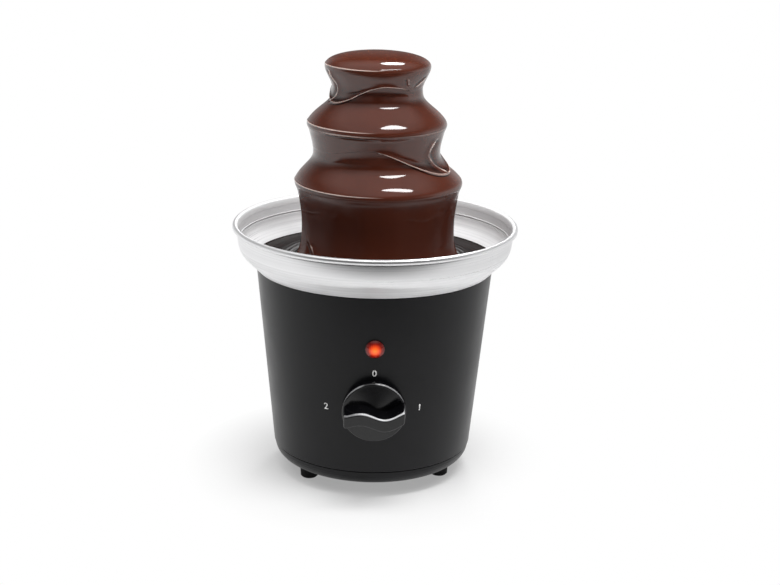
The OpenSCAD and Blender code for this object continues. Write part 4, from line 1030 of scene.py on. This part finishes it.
def white_floor():
    """White to the camera, with the object's shadow. Reflections see it dim in front."""
    made, tree = new_finish("white_floor")
    tree.nodes.remove(tree.nodes["Principled BSDF"])
    rays = add(tree, "LightPath").outputs
    place = place_on(tree)
    at = split(tree, place)
    front = scaled(tree, at["Y"], *dim_front, low=0.06)
    side = scaled(tree, at["X"], *dim_right, low=1, high=0.85)
    bright = either(tree, rays["Is Glossy Ray"], 1.0, product(tree, front, side))
    white = add(tree, "Emission", {"Color": (1, 1, 1, 1), "Strength": bright})
    matt = add(tree, "BsdfDiffuse", {"Color": either(tree, rays["Is Camera Ray"], 0.75, 0.65)})
    seen = maths(tree, "MAXIMUM", looked_at(tree, rays), rays["Is Glossy Ray"])
    clear = scaled(tree, length(tree, place), *shadow_fade, low=0.35)
    mix = add(tree, "MixShader", {0: product(tree, seen, clear), 1: matt.outputs[0], 2: white.outputs[0]})
    feed(tree, tree.nodes["Material Output"], {"Surface": mix.outputs[0]})
    return made


def white_room():
    """White to the camera. Reflections see walls at the sides and behind, and a ceiling.
    The limits are parts of a unit direction."""
    made = bpy.data.worlds.new("studio")
    made.use_nodes = True
    tree = made.node_tree
    rays = add(tree, "LightPath").outputs
    way = split(tree, add(tree, "TexCoord").outputs["Generated"])
    behind = scaled(tree, way["Y"], -0.75, 0.1, low=0.15)
    wings = scaled(tree, maths(tree, "ABSOLUTE", way["X"]), 0.1, 0.35, low=0.2)
    low = scaled(tree, way["Z"], 0.1, 0.5, low=1, high=0.2)
    ceiling = scaled(tree, way["Z"], 0.5, 0.85)
    mirrored = maths(tree, "MAXIMUM", product(tree, behind, wings, low), ceiling)
    ambient = scaled(tree, way["Z"], 0.55, 0.85, low=0.03)
    lighting = either(tree, rays["Is Glossy Ray"], ambient, mirrored)
    sky = tree.nodes["Background"]
    sky.inputs["Color"].default_value = (1, 1, 1, 1)
    feed(tree, sky, {"Strength": either(tree, looked_at(tree, rays), lighting, 1.0)})
    return made


def softbox(name, azimuth, elevation, distance, size, power, spin=0, shape="RECTANGLE", mirrored=True):
    """A soft lamp that points at the middle of the object, spun about its own axis."""
    lamp = bpy.data.lights.new(name, "AREA")
    lamp.shape = shape
    lamp.size, lamp.size_y = size
    lamp.energy = power
    stand = put_in_scene(name, lamp)
    stand.visible_glossy = mirrored
    turn, rise = math.radians(azimuth), math.radians(elevation)
    away = Vector((math.sin(turn) * math.cos(rise), -math.cos(turn) * math.cos(rise), math.sin(rise)))
    level = (sideways - away.x * away).normalized()
    long_side = Quaternion(away, math.radians(spin)) @ level
    stand.matrix_world = facing_place(long_side, away, lamp_target + distance * away)


bpy.ops.mesh.primitive_circle_add(vertices=128, radius=6, fill_type="NGON")
floor = bpy.context.object
floor.name = "floor"
floor.data.materials.append(white_floor())
bpy.context.scene.world = white_room()

softbox("key", azimuth=50, elevation=66, distance=1.1, size=(0.6, 0.16), power=6.5, spin=20,
        shape="ELLIPSE")
softbox("back", azimuth=167, elevation=51, distance=1.1, size=(0.24, 0.26), power=4.5, shape="ELLIPSE")
softbox("top", azimuth=0, elevation=74, distance=1.3, size=(0.5, 0.5), power=12, mirrored=False)
softbox("right_fill", azimuth=60, elevation=5, distance=1.2, size=(0.3, 0.6), power=1.7, mirrored=False)

camera = put_in_scene("camera", bpy.data.cameras.new("camera"))
bpy.context.scene.camera = camera
camera.data.sensor_width = 36
camera.data.lens = 73.85
camera.location = Vector((-16.26, -1034.84, 433.66)) * mm
aim = Vector((10.77, -0.17, 122.0)) * mm
camera_roll = math.radians(1.15)
looking = (aim - camera.location).to_track_quat("-Z", "Y") @ Quaternion((0, 0, 1), camera_roll)
camera.rotation_euler = looking.to_euler()

bpy.context.scene.view_settings.view_transform = "Standard"
